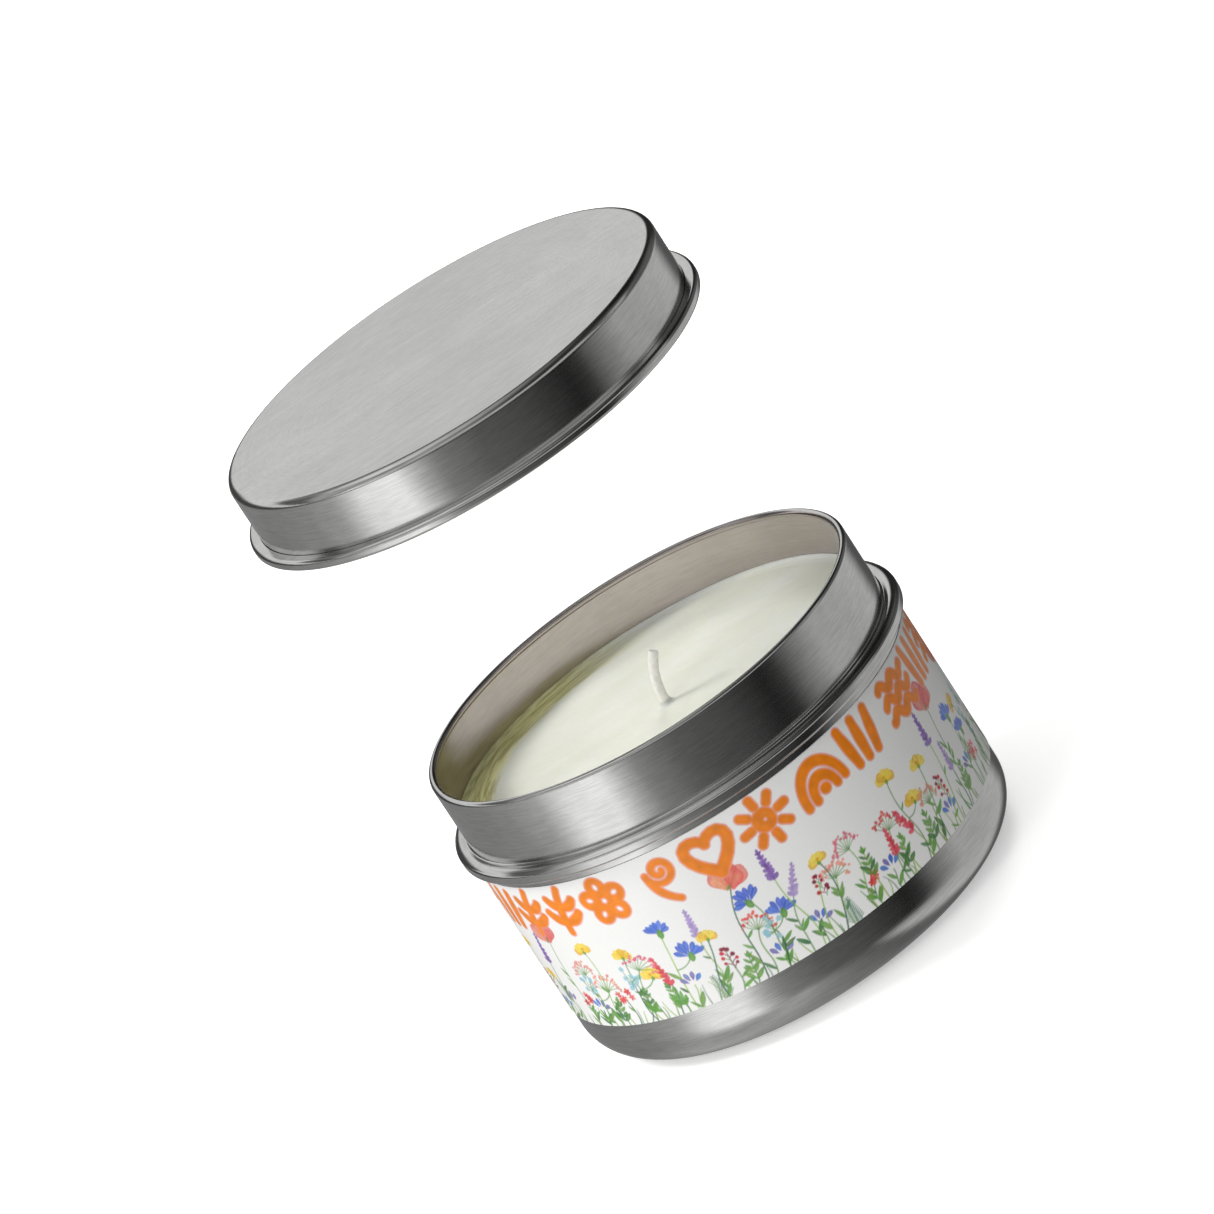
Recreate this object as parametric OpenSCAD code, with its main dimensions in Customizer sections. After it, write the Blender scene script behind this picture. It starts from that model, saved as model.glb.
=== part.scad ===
// Round slip-lid candle tin: a drawn steel can with a beaded neck and a curled rim,
// a matching lid with a curled hem, a wrap label, and a poured candle with its wick.
// Millimetres, +Z up, origin at the centre of the base. The lid is drawn lifted.

/* [Tin] */
// Outside diameter of the body
body_d = 80; // [60:1:110]
// Height of the tin to the top of its rim
tin_h = 55.2; // [44:0.2:90]
// Thickness of the steel sheet
sheet = 0.3; // [0.2:0.05:0.4]
// Outside radius of the base corner
corner_r = 7.5; // [4:0.5:9]
// Height of the raised panel in the middle of the base
panel_rise = 1; // [1:0.1:2]
// Flat width of the ring that the tin stands on
foot_w = 6; // [3:0.5:10]

/* [Neck and bead] */
// Height of the neck from the top of the bead to the top of the rim
neck_h = 11.9; // [9:0.1:20]
// Step in from the body to the neck
neck_inset = 0.9; // [0.7:0.1:2]
// How far the bead stands out of the body
bead_out = 1.7; // [1.4:0.1:3]
// Height of the upright band round the bead
bead_band = 0.9; // [0.5:0.1:2]
// Outside radius of the curled rim
curl_r = 0.65; // [0.6:0.05:1]

/* [Lid] */
// Clearance all round between the lid's skirt and the neck
lid_fit = 0.3; // [0.2:0.05:0.5]
// Gap between the lid's top and the rim when closed
seat_gap = 0.2; // [0.2:0.05:0.5]
// Gap between the lid's hem and the bead when closed
hem_gap = 0.4; // [0.3:0.1:1]
// Outside corner radius of the lid
lid_corner_r = 1.4; // [1:0.1:3]
// Width of the curled hem, from the skirt outwards
hem_out = 2; // [1.8:0.1:3]
// Height of the curled hem
hem_h = 1.9; // [1.7:0.1:3]
// How far the lid is drawn above its closed place
lid_lift = 60; // [0:1:80]

/* [Candle] */
// Height of the wax surface above the top of the bead
wax_above = 1.9; // [1:0.1:4]
// How far the wax climbs the wall
wax_climb = 1.6; // [0.8:0.1:2]
// Diameter of the wick
wick_d = 1.7; // [1.2:0.1:3]
// Depth of the wick's tip below the top of the rim
wick_drop = 0.7; // [0.6:0.1:5]
// Angle that the wick's tip leans over
wick_lean = 36; // [10:1:45]
// Diameter of the wick's metal tab
tab_d = 20; // [12:1:30]
// Height of the tab's crimped neck
tab_neck_h = 6; // [3:0.5:8]
// Diameter of the adhesive pad
pad_d = 19; // [12:1:30]
// Thickness of the adhesive pad
pad_t = 0.8; // [0.5:0.1:1.5]

/* [Label] */
// Bare metal between the base corner and the label
label_low_gap = 3.5; // [1:0.5:10]
// Bare metal between the label and the bead
label_top_gap = 1.2; // [0.5:0.1:10]
// Thickness of the label
label_t = 0.12; // [0.1:0.02:0.2]
// Width of the overlap where the label's ends meet at the back
label_lap = 6; // [3:1:12]

/* [Hidden] */
$fn = 96;

// Angle of one step along a curved stretch of a profile
arc_step = 6;
// Small folds in the sheet, each as its outside radius
fold_r = 0.6;
panel_fold_r = 0.5;
under_fold_r = 0.3;
groove_r = 0.3;
hem_r = 0.7;
// Flat edge left where the wax thins out against the wall and the wick
wax_lip = 0.1;
// Gap that keeps poured wax, label and bores from cutting into their neighbours
film = 0.05;

body_r = body_d / 2;
neck_r = body_r - neck_inset;
bead_r = body_r + bead_out;
floor_z = panel_rise + sheet;
foot_r = body_r - corner_r - foot_w;

// The bead's shoulder: one arc from the upright band up and in to the groove at the neck
band_turn = 60;
shoulder_from = 40;
shoulder_to = 100;
shoulder_z = tin_h - neck_h;
shoulder_out = bead_r - fold_r + fold_r * cos(band_turn);
shoulder_in = neck_r + 2 * groove_r + 0.2;
shoulder_r = (shoulder_out - shoulder_in) / (cos(shoulder_from) - cos(shoulder_to));
shoulder_cr = shoulder_out - shoulder_r * cos(shoulder_from);
shoulder_cz = shoulder_z - shoulder_r;
band_top = shoulder_cz + shoulder_r * sin(shoulder_from) - fold_r * sin(band_turn);
band_bottom = band_top - bead_band;
groove_z = shoulder_cz + shoulder_r * sin(shoulder_to) - 0.1;

// The curl at the rim, flush with the outside of the neck
curl_cr = neck_r - curl_r;
curl_cz = tin_h - curl_r;
curl_turn = 250;

// The lid at its closed place
skirt_r = neck_r + lid_fit + sheet;
lid_top = tin_h + seat_gap + sheet;
lid_bottom = shoulder_z + hem_gap;
lid_h = lid_top - lid_bottom;
hem_end_gap = 0.1;

// The candle
wax_z = shoulder_z + wax_above;
wick_r = wick_d / 2;
wick_bend_z = wax_z + 0.2;
wick_bend_r = (tin_h - wick_drop - wick_bend_z - wick_r * sin(wick_lean)) / sin(wick_lean);
wick_squeeze = 0.04;
wick_foot = 0.8;
tab_z = floor_z + pad_t;
tab_bore_r = wick_r + film;
tab_neck_r = tab_bore_r + sheet;
tab_neck_z = tab_z + sheet + tab_neck_h;
crimp_r = 0.5;
crimp_depth = 0.15;

// The label, between the base corner and the bead
label_z = corner_r + label_low_gap;
label_h = band_bottom - fold_r - under_fold_r - label_top_gap - label_z;
lap_t = 1.5 * label_t;

// Points along an arc about (cr, cz) of radius r, from one angle to another
function arc(cr, cz, r, from, to) =
    let (n = ceil(abs(to - from) / arc_step))
    [for (i = [0:n]) let (a = from + (to - from) * i / n) [cr + r * cos(a), cz + r * sin(a)]];

function reverse(points) = [for (i = [len(points) - 1:-1:0]) points[i]];

// The can's wall from the middle of the base to the foot of the neck, set in by a distance
function wall(off) = concat(
    [[0, panel_rise + off]],
    arc(foot_r - 2 * panel_fold_r, panel_rise - panel_fold_r, panel_fold_r + off, 90, 0),
    arc(foot_r, panel_fold_r, panel_fold_r - off, 180, 270),
    arc(body_r - corner_r, corner_r, corner_r - off, 270, 360),
    arc(body_r + under_fold_r, band_bottom - fold_r - under_fold_r, under_fold_r + off, 180, 90),
    arc(bead_r - fold_r, band_bottom, fold_r - off, 270, 360),
    arc(bead_r - fold_r, band_top, fold_r - off, 0, band_turn),
    arc(shoulder_cr, shoulder_cz, shoulder_r - off, shoulder_from, shoulder_to),
    arc(neck_r + groove_r, groove_z + groove_r, groove_r + off, 270, 180));

// The rim's curl, from the outside of the neck inwards and down
function curl(off) = arc(curl_cr, curl_cz, curl_r - off, 0, curl_turn);

// The lid's sheet, from the middle of its top to the end of its hem, set in by a distance
function lid_sheet(off) = concat(
    [[0, lid_top - off]],
    arc(skirt_r - lid_corner_r, lid_top - lid_corner_r, lid_corner_r - off, 90, 0),
    arc(skirt_r + hem_r - sheet, lid_bottom + hem_r, hem_r - sheet + off, 180, 270),
    arc(skirt_r + hem_out - hem_r, lid_bottom + hem_r, hem_r - sheet + off, 270, 360),
    arc(skirt_r + hem_out - hem_r, lid_bottom + hem_h - hem_r, hem_r - sheet + off, 0, 90),
    [[skirt_r + hem_end_gap, lid_bottom + hem_h - sheet + off]]);

module tin_body() {
    color("silver")
    rotate_extrude()
    polygon(concat(wall(0), curl(0), reverse(curl(sheet)), reverse(wall(sheet))));
}

module lid() {
    color("gainsboro")
    translate([0, 0, lid_lift])
    rotate_extrude()
    polygon(concat(lid_sheet(0), reverse(lid_sheet(sheet))));
}

// Poured wax: it fills the can up to its surface and closes round the pad, the tab and the wick
module wax_fill() {
    set_in = sheet + film;
    edge_r = neck_r - set_in;
    outside = [for (p = wall(set_in)) if (p[0] > pad_d / 2 + film) p];
    color("ivory")
    rotate_extrude()
    polygon(concat(
        [[pad_d / 2 + film, floor_z + film]],
        outside,
        [[edge_r, wax_z + wax_climb]],
        arc(edge_r - wax_lip - wax_climb, wax_z + wax_climb, wax_climb, 0, -90),
        arc(tab_bore_r + wax_lip + wick_foot, wax_z + wick_foot, wick_foot, 270, 180),
        [
            [tab_bore_r, wax_z + wick_foot],
            [tab_bore_r, tab_neck_z + film],
            [tab_neck_r + film, tab_neck_z + film],
            [tab_neck_r + film, tab_z + sheet + film],
            [tab_d / 2 + film, tab_z + sheet + film],
            [tab_d / 2 + film, tab_z - film],
            [pad_d / 2 + film, tab_z - film],
        ]));
}

// Cotton wick: straight and gripped a little thinner through the wax, then leaning over above it
module wick() {
    color("white") {
        translate([0, 0, tab_z])
        cylinder(r = wick_r - wick_squeeze, h = wick_bend_z - tab_z + wick_squeeze);
        translate([wick_bend_r, 0, wick_bend_z])
        rotate([90, 0, 0])
        rotate([0, 0, 180 - wick_lean])
        rotate_extrude(angle = wick_lean)
        translate([wick_bend_r, 0])
        circle(r = wick_r);
    }
}

// Metal tab: a flat disc with a crimped neck that grips the wick
module wick_tab() {
    color("darkgray")
    difference() {
        union() {
            translate([0, 0, tab_z])
            cylinder(r = tab_d / 2, h = sheet);
            translate([0, 0, tab_z])
            cylinder(r = tab_neck_r, h = tab_neck_z - tab_z);
        }
        translate([0, 0, tab_z - 1])
        cylinder(r = tab_bore_r, h = tab_neck_h + 3);
        for (side = [-1, 1])
            translate([side * (tab_neck_r + crimp_r - crimp_depth), 0, tab_neck_z - tab_neck_h / 2])
            rotate([90, 0, 0])
            cylinder(r = crimp_r, h = 4 * tab_neck_r, center = true);
    }
}

// Double-sided pad that holds the tab to the base
module adhesive_pad() {
    color("lightyellow")
    translate([0, 0, floor_z])
    cylinder(r = pad_d / 2, h = pad_t);
}

// Printed wrap with its ends overlapping at the back
module wrap_label() {
    inner_r = body_r + film / 2;
    lap_angle = label_lap / body_r * 180 / PI;
    color("white")
    translate([0, 0, label_z]) {
        rotate_extrude()
        translate([inner_r, 0])
        square([label_t, label_h]);
        rotate([0, 0, 90 - lap_angle / 2])
        rotate_extrude(angle = lap_angle)
        translate([inner_r + label_t / 2, 0])
        square([lap_t, label_h]);
    }
}

tin_body();
wax_fill();
wick();
wick_tab();
adhesive_pad();
wrap_label();
lid();
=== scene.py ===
"""Looks of a round slip-lid candle tin.

The tin, its lid, the poured candle with its wick and the printed wrap label are built
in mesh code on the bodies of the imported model. Sizes are millimetres in the fields of
the sub-assemblies and metres in Blender; +Z is up and the origin is the centre of the base.
"""

import logging
import math
from collections.abc import Callable, Sequence
from dataclasses import dataclass, field
from enum import Enum
from typing import Any

import bpy
import numpy as np
from mathutils import Matrix, Vector


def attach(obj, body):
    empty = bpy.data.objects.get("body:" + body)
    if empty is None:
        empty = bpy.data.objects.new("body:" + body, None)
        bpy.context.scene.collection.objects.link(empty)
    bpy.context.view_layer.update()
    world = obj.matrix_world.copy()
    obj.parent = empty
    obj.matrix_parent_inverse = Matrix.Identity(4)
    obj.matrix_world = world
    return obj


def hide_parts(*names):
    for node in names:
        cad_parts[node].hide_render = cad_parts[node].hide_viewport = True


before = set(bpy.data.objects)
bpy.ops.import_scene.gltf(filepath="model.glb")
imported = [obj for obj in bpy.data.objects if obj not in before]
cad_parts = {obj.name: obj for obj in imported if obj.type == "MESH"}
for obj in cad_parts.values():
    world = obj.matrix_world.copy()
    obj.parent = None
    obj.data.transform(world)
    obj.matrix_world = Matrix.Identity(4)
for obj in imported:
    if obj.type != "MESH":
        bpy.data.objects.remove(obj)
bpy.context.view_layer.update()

MM = 0.001
Rgb = tuple[float, float, float]
Point = tuple[float, float]
log = logging.getLogger("candle_tin")


class Body(Enum):
    """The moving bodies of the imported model."""

    TIN = "tin"
    LID = "lid"


class Slot(Enum):
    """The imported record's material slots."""

    STEEL = "brushed_tin"
    WAX = "wax"
    COTTON = "wick_cotton"
    FILM = "label_film"


def to_linear(values: np.ndarray) -> np.ndarray:
    """Turn the values of display colours into linear ones."""
    return np.where(values <= 0.04045, values / 12.92, ((values + 0.055) / 1.055) ** 2.4)


def linear(colour: Rgb) -> tuple[float, ...]:
    """Turn a display colour into a linear one with an alpha of 1."""
    return (*to_linear(np.array(colour)).tolist(), 1.0)


def grey(level: float) -> tuple[float, ...]:
    """Return a linear grey with an alpha of 1."""
    return (level, level, level, 1.0)


# ---------------------------------------------------------------- shader maths


def operator(operation: str, swapped: bool = False) -> Callable[["Signal", "Signal | float"], "Signal"]:
    """Make an operator of Signal that adds a Math node.

    Args:
        operation: The node's operation.
        swapped: Whether the other value comes first, as in 1 - signal.

    Returns:
        The operator.
    """

    def apply(self: "Signal", other: "Signal | float") -> "Signal":
        """Return the node's result for the two values."""
        return self.bench.maths(operation, *((other, self) if swapped else (self, other)))

    return apply


class Signal:
    """An output socket of a node, with arithmetic that adds Math nodes."""

    def __init__(self, bench: "Bench", socket: bpy.types.NodeSocket) -> None:
        """Keep the tree and the socket.

        Args:
            bench: The tree that new nodes are added to.
            socket: The output socket that this signal stands for.
        """
        self.bench = bench
        self.socket = socket

    __add__, __radd__ = operator("ADD"), operator("ADD", True)
    __sub__, __rsub__ = operator("SUBTRACT"), operator("SUBTRACT", True)
    __mul__, __rmul__ = operator("MULTIPLY"), operator("MULTIPLY", True)
    __truediv__, __rtruediv__ = operator("DIVIDE"), operator("DIVIDE", True)

    def clamped(self) -> "Signal":
        """Return this signal held between 0 and 1."""
        return self.bench.maths("ADD", self, 0.0, clamp=True)

    def between(self, low: float, high: float) -> "Signal":
        """Rise smoothly from 0 to 1 as this signal goes from low to high.

        Args:
            low: Value that gives 0.
            high: Value that gives 1; below low, the rise is a fall.

        Returns:
            The eased step.
        """
        step = self.bench.add(
            "ShaderNodeMapRange",
            {"interpolation_type": "SMOOTHSTEP"},
            {"Value": self, "From Min": low, "From Max": high},
        )
        return self.bench.out(step, "Result")


class Bench:
    """Adds nodes to the node tree of a material or a world."""

    def __init__(self, owner: "bpy.types.Material | bpy.types.World") -> None:
        """Start with an empty tree.

        Args:
            owner: The material or the world.
        """
        owner.use_nodes = True
        self.owner = owner
        self.tree = owner.node_tree
        self.tree.nodes.clear()

    def add(
        self, kind: str, settings: dict[str, Any] | None = None, sockets: dict[Any, Any] | None = None
    ) -> bpy.types.Node:
        """Add one node.

        Args:
            kind: The node's type.
            settings: Its properties, set first; "stops" fills a colour ramp.
            sockets: Values or signals by socket name or number.

        Returns:
            The new node.
        """
        node = self.tree.nodes.new(kind)
        for name, value in (settings or {}).items():
            if name == "stops":
                self._fill_ramp(node.color_ramp, value)
            else:
                setattr(node, name, value)
        for name, value in (sockets or {}).items():
            socket = node.inputs[name]
            if isinstance(value, Signal):
                self.tree.links.new(value.socket, socket)
            else:
                socket.default_value = value
        return node

    @staticmethod
    def _fill_ramp(ramp: bpy.types.ColorRamp, stops: Sequence[tuple[float, Any]]) -> None:
        """Set the stops of a colour ramp.

        Args:
            ramp: The ramp.
            stops: Pairs of place and linear colour.
        """
        while len(ramp.elements) < len(stops):
            ramp.elements.new(0.5)
        for element, (place, colour) in zip(ramp.elements, stops):
            element.position = place
            element.color = colour

    def out(self, node: bpy.types.Node, name: str | int = 0) -> Signal:
        """Return one output of a node as a signal."""
        return Signal(self, node.outputs[name])

    def coordinate(self, name: str) -> Signal:
        """Return one output of a new Texture Coordinate node."""
        return self.out(self.add("ShaderNodeTexCoord"), name)

    def maths(self, operation: str, *values: "Signal | float", clamp: bool = False) -> Signal:
        """Add a Math node.

        Args:
            operation: The node's operation.
            values: What its sockets take, in order.
            clamp: Whether the result is held between 0 and 1.

        Returns:
            The node's result.
        """
        settings = {"operation": operation, "use_clamp": clamp}
        return self.out(self.add("ShaderNodeMath", settings, dict(enumerate(values))))

    def vector(self, x: Any, y: Any, z: Any) -> Signal:
        """Join three numbers or signals into a vector."""
        return self.out(self.add("ShaderNodeCombineXYZ", None, {0: x, 1: y, 2: z}))

    def parts(self, vector: Signal) -> tuple[Signal, Signal, Signal]:
        """Split a vector into its three parts."""
        node = self.add("ShaderNodeSeparateXYZ", None, {0: vector})
        return self.out(node, 0), self.out(node, 1), self.out(node, 2)

    def blend(self, share: "Signal | float", first: Any, second: Any, how: str = "MIX") -> Signal:
        """Mix two colours.

        Args:
            share: How much of the second colour shows, from 0 to 1.
            first: A linear colour or a signal.
            second: A linear colour or a signal.
            how: The blend type.

        Returns:
            The mixed colour.
        """
        settings = {"data_type": "RGBA", "blend_type": how, "clamp_factor": True}
        return self.out(self.add("ShaderNodeMix", settings, {0: share, 6: first, 7: second}), 2)

    def noise(
        self, vector: Signal, scale: float, detail: float = 3.0, rough: float = 0.5, w: Any = None
    ) -> Signal:
        """Add a noise texture.

        Args:
            vector: Where it is read.
            scale: Its scale.
            detail: Number of finer layers.
            rough: How strong the finer layers are.
            w: A fourth coordinate, if it has one.

        Returns:
            The noise from 0 to 1.
        """
        sockets = {"Vector": vector, "Scale": scale, "Detail": detail, "Roughness": rough}
        if w is not None:
            sockets["W"] = w
        dims = {"noise_dimensions": "3D" if w is None else "4D"}
        return self.out(self.add("ShaderNodeTexNoise", dims, sockets))

    def bump(self, height: Signal, distance: float, strength: float, under: Signal | None = None) -> Signal:
        """Add a Bump node.

        Args:
            height: The height from 0 to 1.
            distance: What a height of 1 is in metres.
            strength: How much of it shows.
            under: A normal that this bump lies on.

        Returns:
            The bumped normal.
        """
        sockets: dict[str, Any] = {"Height": height, "Distance": distance, "Strength": strength}
        if under is not None:
            sockets["Normal"] = under
        return self.out(self.add("ShaderNodeBump", None, sockets))


class Finish:
    """What every finish shares: a named material with one Principled shader."""

    name: str

    def start(self) -> tuple[Bench, Signal]:
        """Make the empty material.

        Returns:
            Its bench, and the place on the piece in metres.
        """
        bench = Bench(bpy.data.materials.new(self.name))
        return bench, bench.coordinate("Object")

    @staticmethod
    def close(bench: Bench, sockets: dict[str, Any]) -> bpy.types.Material:
        """Add the shader and the output.

        Args:
            bench: The material's bench.
            sockets: Values and signals of the shader's sockets.

        Returns:
            The material.
        """
        shader = bench.add("ShaderNodeBsdfPrincipled", None, sockets)
        bench.add("ShaderNodeOutputMaterial", None, {"Surface": bench.out(shader)})
        return bench.owner


@dataclass(frozen=True)
class BrushedSteel(Finish):
    """Bright sheet steel, brushed round its walls and across its flats, painted darker and warmer on its
    inward faces as shade inside the can and the wax's warm reflection.
    """

    name: str
    dark: Rgb = (0.715, 0.715, 0.710)
    light: Rgb = (0.885, 0.885, 0.878)
    shaded_inner_dark: Rgb = (0.680, 0.648, 0.638)
    shaded_inner_light: Rgb = (0.810, 0.772, 0.765)
    roughness: float = 0.17
    line_rough: float = 0.08
    smudge_rough: float = 0.05
    line_pitch: float = 0.12
    band_scale: float = 0.22
    # Heights of the brush lines and of the sheet's long waves, in metres
    line_h: float = 0.000006
    wave_h: float = 0.00008
    anisotropy: float = 0.35

    def make(self) -> bpy.types.Material:
        """Build the material.

        Returns:
            The material.
        """
        bench, place = self.start()
        out_x, out_y, facing = bench.parts(bench.coordinate("Normal"))
        x, y, z = bench.parts(place)
        radius = bench.maths("SQRT", x * x + y * y) + 1e-6
        fine = 1.0 / (self.line_pitch * MM)
        around = bench.vector(x / radius * 8.0, y / radius * 8.0, z * fine)
        rings = bench.noise(around, 1.0, 3.0, 0.70, radius * fine)
        across = bench.vector(x * 90.0, y * fine, z * 90.0)
        lines = bench.noise(across, 1.0, 3.0, 0.62)
        flat = bench.maths("ABSOLUTE", facing).between(0.90, 0.99)
        brush = rings * (1.0 - flat) + lines * flat
        coarse = bench.vector(x / radius * 14.0, y / radius * 14.0, z * fine * self.band_scale)
        bands = bench.noise(coarse, 1.0, 2.0, 0.5, radius * fine * self.band_scale)
        smudge = bench.noise(place, 95.0, 4.0, 0.6)
        tone = ((brush - 0.5) * 1.5 + (bands - 0.5) * 0.5 + (smudge - 0.5) * 0.8 + 0.5).clamped()
        rough = (brush - 0.5) * self.line_rough + (smudge - 0.5) * self.smudge_rough + self.roughness
        waves = bench.bump(bench.noise(place, 42.0, 1.0, 0.4), self.wave_h, 0.4)
        sheet = bench.blend(tone, linear(self.dark), linear(self.light))
        # Painted shade and reflection: inward faces take a darker, warmer colour for the shade inside the
        # can and the wax's warm reflection on its wall
        inward = ((x * out_x + y * out_y) / radius).between(-0.30, -0.75)
        shaded_inside = bench.blend(tone, linear(self.shaded_inner_dark), linear(self.shaded_inner_light))
        normal = bench.bump(brush, self.line_h, 0.35, waves)
        return self.close(
            bench,
            {
                "Base Color": bench.blend(inward, sheet, shaded_inside),
                "Metallic": 1.0,
                "Roughness": rough.clamped(),
                "Anisotropic": self.anisotropy,
                "Anisotropic Rotation": 0.25,
                "Normal": normal,
            },
        )


@dataclass(frozen=True)
class PouredWax(Finish):
    """Ivory soy wax, slightly clouded, with an olive painted shade of the wall along one side of its edge.
    """

    name: str = "poured_wax"
    pale: Rgb = (0.955, 0.962, 0.925)
    deep: Rgb = (0.915, 0.925, 0.865)
    olive_shade: Rgb = (0.96, 0.95, 0.66)
    olive_shade_deep: Rgb = (0.70, 0.68, 0.30)
    # Painted shade of the wall on the wax, olive as shade looks in translucent wax: the radii that it comes
    # up between, the side it lies on and its strength
    edge: tuple[float, float] = (31.8, 34.8)
    shaded_side: Point = (-0.88, 0.47)
    blotch: float = 0.85

    def make(self) -> bpy.types.Material:
        """Build the material.

        Returns:
            The material.
        """
        bench, place = self.start()
        x, y, z = bench.parts(place)
        stretched = bench.vector(x * 55.0, y * 120.0, z * 60.0)
        cloud = bench.noise(stretched, 1.0, 5.0, 0.55)
        mottle = bench.noise(place, 900.0, 3.0, 0.6)
        share = ((cloud - 0.5) * 2.2 + (mottle - 0.5) * 0.5 + 0.5).clamped()
        body = bench.blend(share, linear(self.deep), linear(self.pale))
        radius = bench.maths("SQRT", x * x + y * y)
        # Painted shade: an olive crescent along the wall on one side, with painted streaks, standing in for
        # the wall's shadow on translucent wax
        shade_side = (x * self.shaded_side[0] + y * self.shaded_side[1]) / (radius + 1e-6)
        swirl = bench.noise(bench.vector(x * 140.0, y * 140.0, radius * 1500.0), 1.0, 3.0, 0.60)
        ring = (radius + (cloud - 0.5) * 0.006).between(self.edge[0] * MM, self.edge[1] * MM)
        olive_shade = bench.blend(swirl.between(0.35, 0.62), linear(self.olive_shade_deep), linear(self.olive_shade))
        tint = bench.blend(ring * shade_side.between(0.30, 0.85) * self.blotch, body, olive_shade)
        ripple = bench.bump(cloud, 0.0010, 0.30)
        grain = bench.bump(mottle, 0.00004, 0.5, ripple)
        return self.close(
            bench,
            {
                "Base Color": tint,
                "Roughness": (cloud - 0.5) * 0.3 + 0.42,
                "Specular IOR Level": 0.40,
                "Subsurface Weight": 0.40,
                "Subsurface Radius": (1.0, 0.90, 0.60),
                "Subsurface Scale": 0.0025,
                "Normal": grain,
            },
        )


@dataclass(frozen=True)
class WaxedCotton(Finish):
    """Braided cotton wick, primed with wax."""

    name: str = "waxed_cotton"
    fibre: Rgb = (0.985, 0.982, 0.968)
    # hollow is painted shade: the darker colour of the braid's grooves
    hollow: Rgb = (0.950, 0.943, 0.915)

    def make(self) -> bpy.types.Material:
        """Build the material.

        Returns:
            The material.
        """
        bench, place = self.start()
        relief = bench.out(bench.add("ShaderNodeAttribute", {"attribute_name": "braid"}), "Fac")
        x, y, z = bench.parts(place)
        fuzz = bench.noise(bench.vector(x * 5200.0, y * 5200.0, z * 1400.0), 1.0, 3.0, 0.6)
        # Painted shade: the braid's grooves, where relief is low, take the darker hollow colour
        share = (relief * 0.75 + (fuzz - 0.5) * 0.9 + 0.15).clamped()
        return self.close(
            bench,
            {
                "Base Color": bench.blend(share, linear(self.hollow), linear(self.fibre)),
                "Roughness": 0.62 - share * 0.15,
                "Subsurface Weight": 0.25,
                "Subsurface Radius": (1.0, 0.9, 0.7),
                "Subsurface Scale": 0.0012,
                "Normal": bench.bump(fuzz, 0.00004, 0.5),
            },
        )


@dataclass(frozen=True)
class TabSteel(Finish):
    """Plain tinned steel of the wick's tab."""

    name: str = "tinned_tab_steel"
    dark: Rgb = (0.66, 0.66, 0.65)
    light: Rgb = (0.80, 0.80, 0.79)

    def make(self) -> bpy.types.Material:
        """Build the material.

        Returns:
            The material.
        """
        bench, place = self.start()
        x, y, z = bench.parts(place)
        rolled = bench.noise(bench.vector(x * 300.0, y * 4200.0, z * 900.0), 1.0, 3.0, 0.6)
        blotch = bench.noise(place, 260.0, 4.0, 0.6)
        share = ((rolled - 0.5) * 1.4 + (blotch - 0.5) * 1.2 + 0.5).clamped()
        return self.close(
            bench,
            {
                "Base Color": bench.blend(share, linear(self.dark), linear(self.light)),
                "Metallic": 1.0,
                "Roughness": (blotch - 0.5) * 0.25 + 0.38,
                "Normal": bench.bump(rolled, 0.00002, 0.4),
            },
        )


@dataclass(frozen=True)
class PadFoam(Finish):
    """Pale closed-cell foam of the adhesive pad."""

    name: str = "pad_foam"
    cell: Rgb = (0.93, 0.91, 0.82)
    shaded_pit: Rgb = (0.74, 0.71, 0.60)

    def make(self) -> bpy.types.Material:
        """Build the material.

        Returns:
            The material.
        """
        bench, place = self.start()
        cells = bench.add("ShaderNodeTexVoronoi", {"feature": "F1"}, {"Vector": place, "Scale": 3600.0})
        hollow = bench.out(cells, "Distance")
        tint = bench.noise(place, 700.0, 2.0, 0.5)
        # Painted shade: the foam's hollows, far from the cells' middles, are painted darker
        share = (1.0 - hollow * 0.9 + (tint - 0.5) * 0.5).clamped()
        return self.close(
            bench,
            {
                "Base Color": bench.blend(share, linear(self.shaded_pit), linear(self.cell)),
                "Roughness": 0.92 - share * 0.12,
                "Normal": bench.bump(hollow, 0.00012, 0.7),
            },
        )


@dataclass(frozen=True)
class PrintedFilm(Finish):
    """Satin label film; its print is the colour attribute that the label carries."""

    name: str = "printed_film"
    layer: str = "print"

    def make(self) -> bpy.types.Material:
        """Build the material.

        Returns:
            The material.
        """
        bench, place = self.start()
        ink = bench.out(bench.add("ShaderNodeAttribute", {"attribute_name": self.layer}), "Color")
        tooth = bench.noise(place, 2600.0, 3.0, 0.6)
        wear = bench.noise(place, 150.0, 3.0, 0.55)
        shade = bench.blend((tooth - 0.5) * 0.5 + 0.25, ink, linear((0.93, 0.93, 0.92)), "MULTIPLY")
        return self.close(
            bench,
            {
                "Base Color": shade,
                "Roughness": (wear - 0.5) * 0.18 + (tooth - 0.5) * 0.10 + 0.40,
                "Specular IOR Level": 0.5,
                "Coat Weight": (wear - 0.5) * 0.3 + 0.30,
                "Coat Roughness": 0.28,
                "Normal": bench.bump(tooth, 0.00001, 0.35, bench.bump(wear, 0.00012, 0.4)),
            },
        )


@dataclass(frozen=True)
class StudioPaper(Finish):
    """Plain pale floor."""

    name: str = "studio_paper"
    colour: Rgb = (0.975, 0.975, 0.975)

    def make(self) -> bpy.types.Material:
        """Build the material.

        Returns:
            The material.
        """
        bench, place = self.start()
        tooth = bench.noise(place, 700.0, 2.0, 0.5)
        tone = bench.blend(tooth * 0.02, linear(self.colour), linear((0.95, 0.95, 0.95)))
        glow = {"Emission Color": (1.0, 1.0, 1.0, 1.0), "Emission Strength": 0.35}
        return self.close(bench, {"Base Color": tone, "Roughness": 0.9, "Specular IOR Level": 0.1, **glow})


# ---------------------------------------------------------------- mesh helpers


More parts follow.
